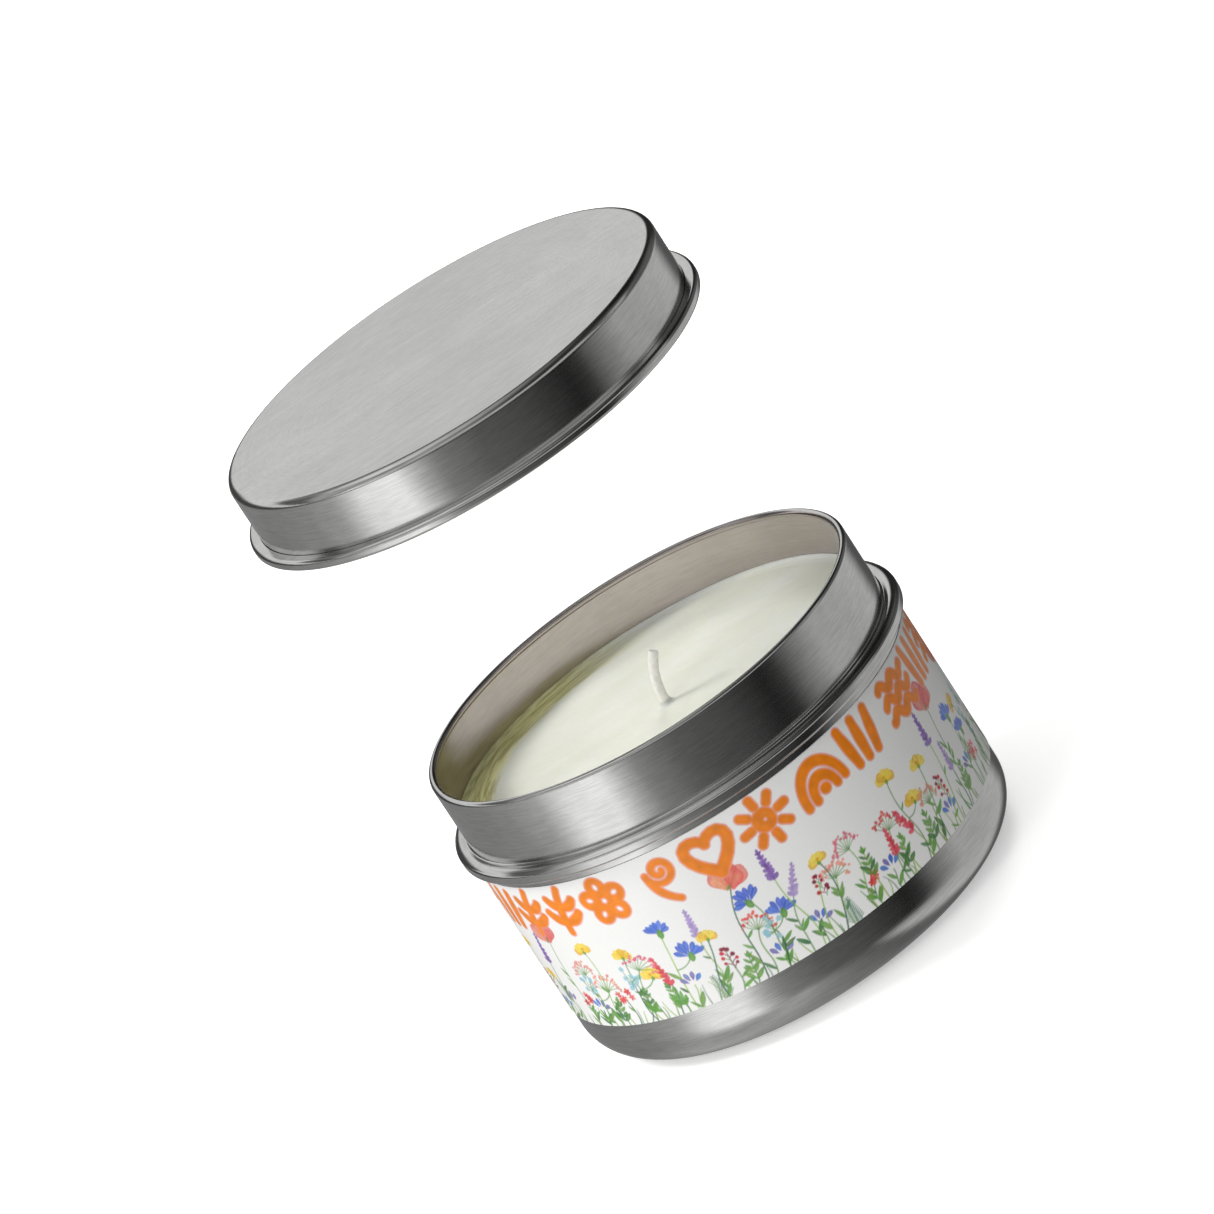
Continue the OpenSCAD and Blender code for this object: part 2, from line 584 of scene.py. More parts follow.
class Section:
    """Half section of a turned piece: points (r, z) in millimetres."""

    def __init__(self, points: Sequence[Point] = ()) -> None:
        """Start a section.

        Args:
            points: Its first points.
        """
        self.points: list[Point] = list(points)

    def arc(
        self, cr: float, cz: float, radius: float, start: float, end: float, step: float = 4.0
    ) -> "Section":
        """Add points along an arc.

        Args:
            cr: Distance of its centre from the axis.
            cz: Height of its centre.
            radius: Its radius.
            start: First angle in degrees.
            end: Last angle in degrees.
            step: Largest angle between points.

        Returns:
            This section.
        """
        count = max(1, math.ceil(abs(end - start) / step))
        for i in range(count + 1):
            a = math.radians(start + (end - start) * i / count)
            self.points.append((cr + radius * math.cos(a), cz + radius * math.sin(a)))
        return self

    def to(self, r: float, z: float) -> "Section":
        """Add one point."""
        self.points.append((r, z))
        return self

    def then(self, other: "Section") -> "Section":
        """Return this section followed by another."""
        return Section([*self.points, *other.points])

    def reversed(self) -> "Section":
        """Return this section from its end to its start."""
        return Section(self.points[::-1])

    def closed(self, near: Sequence[float] = (0.08, 0.25, 0.7), longest: float = 3.0) -> np.ndarray:
        """Close the section and split its long stretches, so that shading stays true.

        Args:
            near: Distances from each end of a long stretch where it is split.
            longest: Longest stretch left whole.

        Returns:
            The loop's points, without the first one repeated.
        """
        loop: list[Point] = []
        count = len(self.points)
        for i, (r0, z0) in enumerate(self.points):
            r1, z1 = self.points[(i + 1) % count]
            size = math.hypot(r1 - r0, z1 - z0)
            if size < 1e-5:
                continue
            loop.append((r0, z0))
            if max(r0, r1) < 1e-6 or size < 3 * near[0]:
                continue
            cuts = [d for d in near if d < size / 2.5]
            places = sorted({*cuts, *(size - d for d in cuts)})
            inner = [0.0, *places, size]
            for a, b in zip(inner[:-1], inner[1:]):
                pieces = max(1, math.ceil((b - a) / longest))
                places += [a + (b - a) * k / pieces for k in range(1, pieces)]
            loop += [(r0 + (r1 - r0) * d / size, z0 + (z1 - z0) * d / size) for d in sorted(places)]
        return np.array(loop)


class MeshWorks:
    """Turns lists of points and faces into objects."""

    @staticmethod
    def build(
        name: str, points_mm: np.ndarray, faces: Sequence[Sequence[int]], crease: float = 50.0
    ) -> bpy.types.Object:
        """Make a smooth-shaded mesh object.

        Args:
            name: The piece's name.
            points_mm: Its points in millimetres.
            faces: Its faces as lists of point numbers.
            crease: Angle in degrees above which an edge stays sharp.

        Returns:
            The object, linked into the scene.
        """
        mesh = bpy.data.meshes.new(name)
        mesh.from_pydata((points_mm * MM).tolist(), [], [list(f) for f in faces])
        mesh.validate()
        mesh.polygons.foreach_set("use_smooth", [True] * len(mesh.polygons))
        mesh.set_sharp_from_angle(angle=math.radians(crease))
        mesh.update()
        piece = bpy.data.objects.new(name, mesh)
        bpy.context.scene.collection.objects.link(piece)
        return piece

    @classmethod
    def turned(
        cls,
        name: str,
        loop: np.ndarray,
        segments: int,
        lift: float = 0.0,
        shape: Callable[[np.ndarray], np.ndarray] | None = None,
    ) -> bpy.types.Object:
        """Turn a closed half section about the Z axis.

        Args:
            name: The piece's name.
            loop: Points (r, z) of the section in millimetres.
            segments: Number of steps round the axis.
            lift: Height added to every point.
            shape: Moves the finished points, if given.

        Returns:
            The turned piece.
        """
        r0, z0 = loop[:, 0], loop[:, 1]
        r1, z1 = np.roll(r0, -1), np.roll(z0, -1)
        if float(np.sum(r0 * z1 - r1 * z0)) < 0:
            loop = loop[::-1]
        angles = np.arange(segments) * (2 * math.pi / segments)
        cos, sin = np.cos(angles), np.sin(angles)
        points: list[np.ndarray] = []
        first: list[int] = []
        total = 0
        for r, z in loop:
            first.append(total)
            if r < 1e-6:
                points.append(np.array([[0.0, 0.0, z + lift]]))
                total += 1
            else:
                points.append(np.column_stack([r * cos, r * sin, np.full(segments, z + lift)]))
                total += segments
        faces: list[tuple[int, ...]] = []
        steps = [(k, (k + 1) % segments) for k in range(segments)]
        count = len(loop)
        for i in range(count):
            j = (i + 1) % count
            low_pole, high_pole = loop[i][0] < 1e-6, loop[j][0] < 1e-6
            a, b = first[i], first[j]
            if low_pole and high_pole:
                continue
            if low_pole:
                faces += [(a, b + n, b + k) for k, n in steps]
            elif high_pole:
                faces += [(a + k, a + n, b) for k, n in steps]
            else:
                faces += [(a + k, a + n, b + n, b + k) for k, n in steps]
        cloud = np.vstack(points)
        return cls.build(name, cloud if shape is None else shape(cloud), faces)


def dress(
    piece: bpy.types.Object, finish: bpy.types.Material, body: Body, stands_for: str
) -> None:
    """Give a piece its material and its body, and hide the CAD node that it stands for.

    Args:
        piece: The new piece.
        finish: Its material.
        body: The body that it rides on.
        stands_for: The CAD node that it replaces.
    """
    piece.data.materials.append(finish)
    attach(piece, body.value)
    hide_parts(stands_for)
    log.info("%s: %d points, %d faces", piece.name, len(piece.data.vertices), len(piece.data.polygons))


# ---------------------------------------------------------------- sub-assemblies


@dataclass
class TinBody:
    """The drawn can: raised base panel, round base corner, bead, neck and curled rim."""

    radius: float = 40.0
    height: float = 55.2
    sheet: float = 0.3
    corner_r: float = 7.5
    panel_rise: float = 1.0
    foot_w: float = 6.0
    neck_h: float = 11.9
    neck_inset: float = 0.9
    bead_out: float = 1.7
    bead_band: float = 0.9
    curl_r: float = 0.65
    curl_turn: float = 250.0
    fold_r: float = 0.6
    panel_fold_r: float = 0.5
    under_fold_r: float = 0.3
    groove_r: float = 0.3
    ledge: float = 0.2
    groove_drop: float = 0.1
    band_turn: float = 60.0
    shoulder_from: float = 40.0
    shoulder_to: float = 100.0
    segments: int = 300

    @property
    def neck_r(self) -> float:
        """Outside radius of the neck."""
        return self.radius - self.neck_inset

    @property
    def bead_r(self) -> float:
        """Outside radius of the bead."""
        return self.radius + self.bead_out

    @property
    def shoulder_z(self) -> float:
        """Height of the bead's top."""
        return self.height - self.neck_h

    @property
    def floor_z(self) -> float:
        """Height of the inside floor in the middle."""
        return self.panel_rise + self.sheet

    def shoulder(self) -> tuple[float, float, float]:
        """Work out the arc that joins the bead's band to the neck.

        Returns:
            Its radius, and its centre's distance from the axis and height.
        """
        a, b = math.radians(self.shoulder_from), math.radians(self.shoulder_to)
        out = self.bead_r - self.fold_r + self.fold_r * math.cos(math.radians(self.band_turn))
        into = self.neck_r + 2 * self.groove_r + self.ledge
        radius = (out - into) / (math.cos(a) - math.cos(b))
        return radius, out - radius * math.cos(a), self.shoulder_z - radius

    @property
    def band_top(self) -> float:
        """Height of the top of the bead's upright band.

        Returns:
            The height.
        """
        radius, _, cz = self.shoulder()
        high = cz + radius * math.sin(math.radians(self.shoulder_from))
        return high - self.fold_r * math.sin(math.radians(self.band_turn))

    @property
    def band_bottom(self) -> float:
        """Height of the foot of the bead's upright band."""
        return self.band_top - self.bead_band

    def wall(self, off: float) -> Section:
        """Draw the wall from the middle of the base to the foot of the neck.

        Args:
            off: Distance that the line is set into the sheet.

        Returns:
            The line.
        """
        radius, cr, cz = self.shoulder()
        foot_r = self.radius - self.corner_r - self.foot_w
        groove_z = cz + radius * math.sin(math.radians(self.shoulder_to)) - self.groove_drop
        fold, under, groove = self.fold_r, self.under_fold_r, self.groove_r
        low, panel = self.band_bottom, self.panel_fold_r
        line = Section([(0.0, self.panel_rise + off)])
        line.arc(foot_r - 2 * panel, self.panel_rise - panel, panel + off, 90, 0, 9)
        line.arc(foot_r, panel, panel - off, 180, 270, 9)
        line.arc(self.radius - self.corner_r, self.corner_r, self.corner_r - off, 270, 360, 3)
        line.arc(self.radius + under, low - fold - under, under + off, 180, 90, 9)
        line.arc(self.bead_r - fold, low, fold - off, 270, 360, 6)
        line.arc(self.bead_r - fold, self.band_top, fold - off, 0, self.band_turn, 6)
        line.arc(cr, cz, radius - off, self.shoulder_from, self.shoulder_to, 4)
        line.arc(self.neck_r + groove, groove_z + groove, groove + off, 270, 180, 9)
        return line

    def curl(self, off: float) -> Section:
        """Draw the rim's curl, set into the sheet by a distance."""
        centre = (self.neck_r - self.curl_r, self.height - self.curl_r)
        return Section().arc(*centre, self.curl_r - off, 0, self.curl_turn, 8)

    def build(self, steel: bpy.types.Material) -> None:
        """Make the can and dress it.

        Args:
            steel: The finish of its sheet.
        """
        outside = self.wall(0.0).then(self.curl(0.0))
        inside = self.wall(self.sheet).then(self.curl(self.sheet))
        loop = outside.then(inside.reversed()).closed()
        can = MeshWorks.turned("drawn_can", loop, self.segments)
        dress(can, steel, Body.TIN, "tin_body")


@dataclass
class SlipLid:
    """The lid: a flat top, a skirt that slips over the neck and a curled hem."""

    tin: TinBody
    fit: float = 0.3
    seat_gap: float = 0.2
    hem_gap: float = 0.4
    corner_r: float = 1.4
    hem_out: float = 2.0
    hem_h: float = 1.9
    hem_r: float = 0.7
    hem_end_gap: float = 0.1
    lift: float = 60.0
    segments: int = 300

    @property
    def skirt_r(self) -> float:
        """Outside radius of the skirt."""
        return self.tin.neck_r + self.fit + self.tin.sheet

    @property
    def top(self) -> float:
        """Height of the top when the lid is on."""
        return self.tin.height + self.seat_gap + self.tin.sheet

    @property
    def bottom(self) -> float:
        """Height of the hem's foot when the lid is on."""
        return self.tin.shoulder_z + self.hem_gap

    def line(self, off: float) -> Section:
        """Draw the sheet from the middle of the top to the end of the hem.

        Args:
            off: Distance that the line is set into the sheet.

        Returns:
            The line.
        """
        sheet, hem, edge = self.tin.sheet, self.hem_r, self.skirt_r + self.hem_out - self.hem_r
        line = Section([(0.0, self.top - off)])
        line.arc(self.skirt_r - self.corner_r, self.top - self.corner_r, self.corner_r - off, 90, 0, 5)
        line.arc(self.skirt_r + hem - sheet, self.bottom + hem, hem - sheet + off, 180, 270, 7)
        line.arc(edge, self.bottom + hem, hem - sheet + off, 270, 360, 7)
        line.arc(edge, self.bottom + self.hem_h - hem, hem - sheet + off, 0, 90, 7)
        return line.to(self.skirt_r + self.hem_end_gap, self.bottom + self.hem_h - sheet + off)

    def build(self, steel: bpy.types.Material) -> None:
        """Make the lid and dress it.

        Args:
            steel: The finish of its sheet.
        """
        loop = self.line(0.0).then(self.line(self.tin.sheet).reversed()).closed()
        lid = MeshWorks.turned("slip_lid", loop, self.segments, self.lift)
        dress(lid, steel, Body.LID, "lid")


@dataclass
class Candle:
    """The poured wax, its braided wick, and the tab and pad that hold the wick."""

    tin: TinBody
    wax_above: float = 1.9
    wax_climb: float = 1.6
    wick_d: float = 1.7
    wick_drop: float = 0.7
    wick_lean: float = 36.0
    wick_foot: float = 0.8
    film: float = 0.05
    pad_d: float = 19.0
    pad_t: float = 0.8
    tab_d: float = 20.0
    tab_neck_h: float = 6.0
    lip: float = 0.1
    braid_depth: float = 0.035
    braid_pitch: float = 2.0
    braid_strands: int = 3
    fray: float = 0.5
    fray_depth: float = 0.10
    tip_dish: float = 0.12
    bend_above: float = 0.2
    # Where the surface's waves start and end: a radius, and the width of the change there
    calm: tuple[float, float] = (2.2, 3.0)
    edge: tuple[float, float] = (38.0, 1.2)
    waves: int = 9
    wave_h: float = 0.045
    # The surface's shallow dish: its depth, the radius of its middle and its breadth
    dish: tuple[float, float, float] = (0.25, 14.0, 9.0)
    seed: int = 7
    segments: int = 300
    wick_rows: int = 420
    wick_around: int = 40

    @property
    def wax_z(self) -> float:
        """Height of the wax surface."""
        return self.tin.shoulder_z + self.wax_above

    @property
    def bend_z(self) -> float:
        """Height where the wick starts to lean."""
        return self.wax_z + self.bend_above

    @property
    def bend_r(self) -> float:
        """Radius of the wick's bend, which puts its tip in its place.

        Returns:
            The radius.
        """
        lean = math.sin(math.radians(self.wick_lean))
        tip = self.tin.height - self.wick_drop - self.bend_z - self.wick_d / 2 * lean
        return tip / lean

    def _settle(self, points: np.ndarray) -> np.ndarray:
        """Give the wax's surface its ripples and its uneven edge.

        Args:
            points: The turned wax's points.

        Returns:
            The moved points.
        """
        x, y, z = points[:, 0], points[:, 1], points[:, 2]
        radius, angle = np.hypot(x, y), np.arctan2(y, x)
        top = np.clip((z - (self.wax_z - 1.0)) / 1.0, 0.0, 1.0)
        inner = np.clip((radius - self.calm[0]) / self.calm[1], 0.0, 1.0)
        outer = np.clip((self.edge[0] - radius) / self.edge[1], 0.0, 1.0)
        draw = np.random.default_rng(self.seed)
        swell = np.zeros_like(z)
        for _ in range(self.waves):
            heading, size = draw.uniform(0, 2 * math.pi), draw.uniform(7.0, 26.0)
            phase, share = draw.uniform(0, 2 * math.pi), draw.uniform(0.3, 1.0)
            along = x * math.cos(heading) + y * math.sin(heading)
            swell += share * np.sin(along / size * 2 * math.pi + phase)
        depth, middle, breadth = self.dish
        dish = -depth * np.exp(-(((radius - middle) / breadth) ** 2))
        climb = 0.06 * np.sin(3 * angle + 0.7) + 0.04 * np.sin(7 * angle + 2.0)
        climb -= 0.55 * np.clip(z - self.wax_z, 0.0, None)
        moved = points.copy()
        moved[:, 2] += top * (inner * outer * (self.wave_h * swell + dish) + (1 - outer) * climb)
        return moved

    def _wax(self, finish: bpy.types.Material) -> None:
        """Make the wax.

        Args:
            finish: Its material.
        """
        set_in = self.tin.sheet + self.film
        edge = self.tin.neck_r - set_in
        pad_r, tab_r, film = self.pad_d / 2 + self.film, self.tab_d / 2 + self.film, self.film
        bore = self.wick_d / 2 + film
        neck_r, low = bore + self.tin.sheet + film, self.tin.floor_z + self.pad_t
        tab_top = low + self.tin.sheet
        neck_top = tab_top + self.tab_neck_h + film
        outside = [p for p in self.tin.wall(set_in).points if p[0] > pad_r]
        line = Section([(pad_r, self.tin.floor_z + film), *outside, (edge, self.wax_z + self.wax_climb)])
        line.arc(edge - self.lip - self.wax_climb, self.wax_z + self.wax_climb, self.wax_climb, 0, -90, 6)
        surface = np.linspace(edge - self.lip - self.wax_climb, bore + self.lip + self.wick_foot, 60)[1:-1]
        for r in surface:
            line.to(float(r), self.wax_z)
        line.arc(bore + self.lip + self.wick_foot, self.wax_z + self.wick_foot, self.wick_foot, 270, 180, 9)
        for r, z in (
            (bore, self.wax_z + self.wick_foot),
            (bore, neck_top),
            (neck_r, neck_top),
            (neck_r, tab_top + film),
            (tab_r, tab_top + film),
            (tab_r, low - film),
            (pad_r, low - film),
        ):
            line.to(r, z)
        wax = MeshWorks.turned("poured_wax", line.closed(), self.segments, 0.0, self._settle)
        dress(wax, finish, Body.TIN, "wax_fill")

    def _centreline(self, count: int) -> tuple[np.ndarray, np.ndarray, np.ndarray]:
        """Walk along the wick from the tab to its tip.

        Args:
            count: Number of stations.

        Returns:
            The stations, the unit vector along the wick there, and the length so far.
        """
        start = self.tin.floor_z + self.pad_t
        straight = self.bend_z - start
        bend = math.radians(self.wick_lean) * self.bend_r
        run = np.linspace(0.0, straight + bend, count)
        turn = np.clip(run - straight, 0.0, None) / self.bend_r
        up = start + np.minimum(run, straight) + self.bend_r * np.sin(turn)
        out = self.bend_r * (1.0 - np.cos(turn))
        stations = np.column_stack([out, np.zeros(count), up])
        along = np.column_stack([np.sin(turn), np.zeros(count), np.cos(turn)])
        return stations, along, run

    def _wick(self, finish: bpy.types.Material) -> None:
        """Make the braided wick.

        Args:
            finish: Its material.
        """
        rows, around = self.wick_rows, self.wick_around
        stations, along, run = self._centreline(rows)
        side = np.array([0.0, 1.0, 0.0])
        front = np.cross(side, along)
        angle = np.arange(around) * (2 * math.pi / around)
        turn = 2 * math.pi * run[:, None] / self.braid_pitch
        strand = self.braid_strands * angle[None, :]
        left, right = np.cos(strand + turn), np.cos(strand - turn)
        relief = np.clip(np.maximum(left, right), 0.0, 1.0) ** 0.6
        fray = np.clip((run - run[-1] + self.fray) / self.fray, 0.0, 1.0)[:, None]
        radius = self.wick_d / 2 - self.braid_depth * (1.0 - relief) - self.fray_depth * fray**2
        ring = np.cos(angle)[None, :, None] * side + np.sin(angle)[None, :, None] * front[:, None, :]
        shell = (stations[:, None, :] + radius[:, :, None] * ring).reshape(-1, 3)
        caps = np.array([stations[0], stations[-1] - self.tip_dish * along[-1]])
        faces: list[tuple[int, ...]] = []
        for i in range(rows - 1):
            for k in range(around):
                n = (k + 1) % around
                a, b = i * around, (i + 1) * around
                faces.append((a + k, b + k, b + n, a + n))
        base, tip, last = rows * around, rows * around + 1, (rows - 1) * around
        faces += [(base, k, (k + 1) % around) for k in range(around)]
        faces += [(tip, last + (k + 1) % around, last + k) for k in range(around)]
        wick = MeshWorks.build("braided_wick", np.vstack([shell, caps]), faces, 70.0)
        layer = wick.data.attributes.new("braid", "FLOAT", "POINT")
        layer.data.foreach_set("value", np.append(relief.ravel(), [0.4, 0.4]).astype(np.float32))
        dress(wick, finish, Body.TIN, "wick")

    def build(self) -> None:
        """Make the wax and the wick, and finish the tab and the pad."""
        self._wax(PouredWax().make())
        self._wick(WaxedCotton().make())
        for node, finish in (("wick_tab", TabSteel()), ("adhesive_pad", PadFoam())):
            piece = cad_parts[node]
            piece.data.materials.clear()
            piece.data.materials.append(finish.make())
            log.info("%s: finished as %s", node, finish.name)


# ---------------------------------------------------------------- the label's print


class Ink:
    """Colours of the print, as a screen shows them."""

    PAPER: Rgb = (0.975, 0.975, 0.970)
    STEM: Rgb = (0.42, 0.60, 0.34)
    LEAF: Rgb = (0.30, 0.58, 0.24)
    MOSS: Rgb = (0.16, 0.38, 0.24)
    LIME: Rgb = (0.58, 0.74, 0.34)
    FERN: Rgb = (0.50, 0.62, 0.52)
    CORAL: Rgb = (0.93, 0.36, 0.33)
    BLUSH: Rgb = (0.97, 0.62, 0.55)
    RED: Rgb = (0.84, 0.20, 0.24)
    WINE: Rgb = (0.55, 0.14, 0.22)
    YELLOW: Rgb = (0.98, 0.84, 0.25)
    AMBER: Rgb = (0.92, 0.68, 0.14)
    BLUE: Rgb = (0.20, 0.34, 0.80)
    SKY: Rgb = (0.50, 0.76, 0.88)
    PURPLE: Rgb = (0.46, 0.32, 0.66)
    LILAC: Rgb = (0.74, 0.66, 0.87)
    ORANGE: Rgb = (0.985, 0.53, 0.0)
    GLOW: Rgb = (0.97, 0.62, 0.55)


class Painter:
    """Lays watercolour strokes and petals on a grid of points of the flat label."""

    def __init__(self, width: float, height: float, step: float, seed: int) -> None:
        """Start with clean film.

        Args:
            width: Length of the label, round the tin, in millimetres.
            height: Its height.
            step: Distance between grid points.
            seed: Start of the random draws.
        """
        self.step = step
        self.columns, self.rows = round(width / step) + 1, round(height / step) + 1
        self.u, self.v = np.linspace(0, width, self.columns), np.linspace(0, height, self.rows)
        self.ink = np.ones((self.rows, self.columns, 3)) * Ink.PAPER
        self.draw = np.random.default_rng(seed)
        self.wet = self._cloud(1.1)
        self.grain = self._cloud(0.35)

    def _cloud(self, cell: float) -> np.ndarray:
        """Make a smooth random field over the grid.

        Args:
            cell: Size of its patches in millimetres.

        Returns:
            Values from 0 to 1.
        """
        nu, nv = int(self.u[-1] / cell) + 3, int(self.v[-1] / cell) + 3
        knots = self.draw.random((nv, nu))
        gu, gv = self.u / cell, self.v / cell
        iu, iv = gu.astype(int), gv.astype(int)
        fu, fv = gu - iu, (gv - iv)[:, None]
        fu, fv = fu * fu * (3 - 2 * fu), fv * fv * (3 - 2 * fv)
        low = knots[np.ix_(iv, iu)] * (1 - fu) + knots[np.ix_(iv, iu + 1)] * fu
        high = knots[np.ix_(iv + 1, iu)] * (1 - fu) + knots[np.ix_(iv + 1, iu + 1)] * fu
        return low * (1 - fv) + high * fv

    def _window(self, low: Sequence[float], high: Sequence[float]) -> tuple[slice, slice] | None:
        """Find the grid points in a box.

        Args:
            low: Its lowest corner.
            high: Its highest corner.

        Returns:
            The slices of rows and columns, or None outside the label.
        """
        a = max(0, int((low[0] - 0.4) / self.step))
        b = min(self.columns, int((high[0] + 0.4) / self.step) + 2)
        c = max(0, int((low[1] - 0.4) / self.step))
        d = min(self.rows, int((high[1] + 0.4) / self.step) + 2)
        return (slice(c, d), slice(a, b)) if a < b and c < d else None

    def lay(self, area: tuple[slice, slice], cover: np.ndarray, colour: Any, strength: float) -> None:
        """Lay colour over the paint that is there.

        Args:
            area: The window.
            cover: How much of each grid point is covered, from 0 to 1.
            colour: One colour, or one per grid point.
            strength: Opacity of the paint.
        """
        share = (cover * strength)[..., None]
        self.ink[area] = self.ink[area] * (1 - share) + np.asarray(colour) * share

    def stroke(
        self,
        path: np.ndarray,
        width: float | np.ndarray,
        colour: Rgb,
        strength: float = 0.92,
        wash: float = 0.16,
    ) -> None:
        """Draw a line with round ends.

        Args:
            path: Its points.
            width: Its width, or one width per point.
            colour: Its colour.
            strength: Opacity of the paint.
            wash: How much the tone varies along it.
        """
        path = np.asarray(path, float)
        half = np.broadcast_to(np.asarray(width, float) / 2, (len(path),))
        reach = float(half.max())
        area = self._window(path.min(0) - reach, path.max(0) + reach)
        if area is None:
            return
        gx, gy = self.u[area[1]][None, :], self.v[area[0]][:, None]
        nearest = np.full((gy.shape[0], gx.shape[1]), 1e9)
        for (ax, ay), (bx, by), ra, rb in zip(path[:-1], path[1:], half[:-1], half[1:]):
            dx, dy = bx - ax, by - ay
            size = dx * dx + dy * dy + 1e-12
            t = np.clip(((gx - ax) * dx + (gy - ay) * dy) / size, 0.0, 1.0)
            gap = np.hypot(gx - ax - t * dx, gy - ay - t * dy) - (ra + t * (rb - ra))
            np.minimum(nearest, gap, out=nearest)
        cover = np.clip(0.5 - nearest / self.step, 0.0, 1.0)
        tone = 1.0 - wash * (self.wet[area] - 0.35)
        self.lay(area, cover, np.asarray(colour) * tone[..., None], strength)

    def petal(
        self,
        foot: Point,
        angle: float,
        length: float,
        width: float,
        colour: Rgb,
        pale: Rgb | None = None,
        blunt: float = 1.5,
        strength: float = 0.85,
    ) -> None:
        """Draw a petal or a leaf.

        Args:
            foot: Where it starts.
            angle: Its heading in degrees.
            length: Its length.
            width: Its greatest width.
            colour: Its colour at the edge.
            pale: Its colour in the wet middle.
            blunt: Above 1 moves the widest place towards the tip.
            strength: Opacity of the paint.
        """
        c, s = math.cos(math.radians(angle)), math.sin(math.radians(angle))
        ends = np.array([foot, (foot[0] + length * c, foot[1] + length * s)])
        area = self._window(ends.min(0) - width / 2, ends.max(0) + width / 2)
        if area is None:
            return
        gx, gy = self.u[area[1]][None, :] - foot[0], self.v[area[0]][:, None] - foot[1]
        along, side = (gx * c + gy * s) / length, np.abs(gy * c - gx * s)
        inside = np.clip(along, 0.0, 1.0)
        profile = width / 2 * np.sin(math.pi * inside**blunt) ** 0.75
        gap = side - profile + np.maximum(0.0, np.maximum(-along, along - 1.0)) * length
        cover = np.clip(0.5 - gap / self.step, 0.0, 1.0) * (np.abs(along - 0.5) < 0.5 + self.step / length)
        middle = np.clip(-gap / (0.3 * width), 0.0, 1.0) * (0.35 + 0.65 * self.wet[area])
        base = np.asarray(colour) * (1.0 - 0.12 * (self.grain[area] - 0.5))[..., None]
        light = np.asarray(pale if pale is not None else colour)
        tone = base * (1 - 0.7 * middle[..., None]) + light * 0.7 * middle[..., None]
        self.lay(area, cover, tone, strength)

    def dot(self, centre: Point, size: float, colour: Rgb, strength: float = 0.9) -> None:
        """Draw a round dab of paint."""
        self.stroke(np.array([centre, (centre[0] + 0.01, centre[1])]), size, colour, strength)


def bend(start: Point, end: Point, sag: float, count: int = 14, sway: float = 0.0) -> np.ndarray:
    """Make a smooth bow between two points.

    Args:
        start: Its first point.
        end: Its last point.
        sag: How far its middle stands to the left.
        count: Number of points.
        sway: How far it swings to one side and then to the other.

    Returns:
        The points.
    """
    a, b = np.asarray(start, float), np.asarray(end, float)
    t = np.linspace(0.0, 1.0, count)[:, None]
    normal = np.array([-(b - a)[1], (b - a)[0]]) / (np.linalg.norm(b - a) + 1e-9)
    return a + (b - a) * t + normal * (sag * 4 * t * (1 - t) + sway * np.sin(2 * math.pi * t))


def ahead(at: Sequence[float], heading: float, far: float) -> Point:
    """Step from a point along a heading.

    Args:
        at: The point.
        heading: The heading in degrees.
        far: How far the step goes.

    Returns:
        Where it ends.
    """
    angle = math.radians(heading)
    return at[0] + far * math.cos(angle), at[1] + far * math.sin(angle)


class Flower(Enum):
    """The plants of the meadow.

    Each has the least and the greatest height of its stem, and how far above the stem's
    end the middle of its head is, with the head's radius, in millimetres.
    """

    POPPY = (13.5, 17.5, 2.2, 2.7)
    BUTTERCUP = (8.0, 15.0, 1.0, 1.7)
    CORNFLOWER = (8.0, 15.0, 0.8, 1.8)
    LAVENDER = (8.5, 14.0, 2.6, 2.6)
    LILAC = (6.5, 12.5, 2.3, 2.3)
    UMBEL = (5.5, 11.0, 1.8, 2.5)
    MIST = (6.0, 10.5, 1.0, 2.3)
    STARS = (3.0, 5.5, 0.8, 2.1)
    SPIKE = (4.5, 8.5, 2.2, 2.2)
    BERRIES = (6.0, 10.0, -1.0, 1.7)
    BELLS = (2.0, 4.5, 0.8, 1.5)
    TWIG = (4.5, 9.0, -1.5, 1.8)
    FERN = (4.0, 8.5, -1.5, 1.8)

    @property
    def reach(self) -> tuple[float, float]:
        """Least and greatest height of the stem."""
        return self.value[:2]

    @property
    def room(self) -> tuple[float, float]:
        """Rise from the stem's end to the middle of the head, and the head's radius."""
        return self.value[2:]


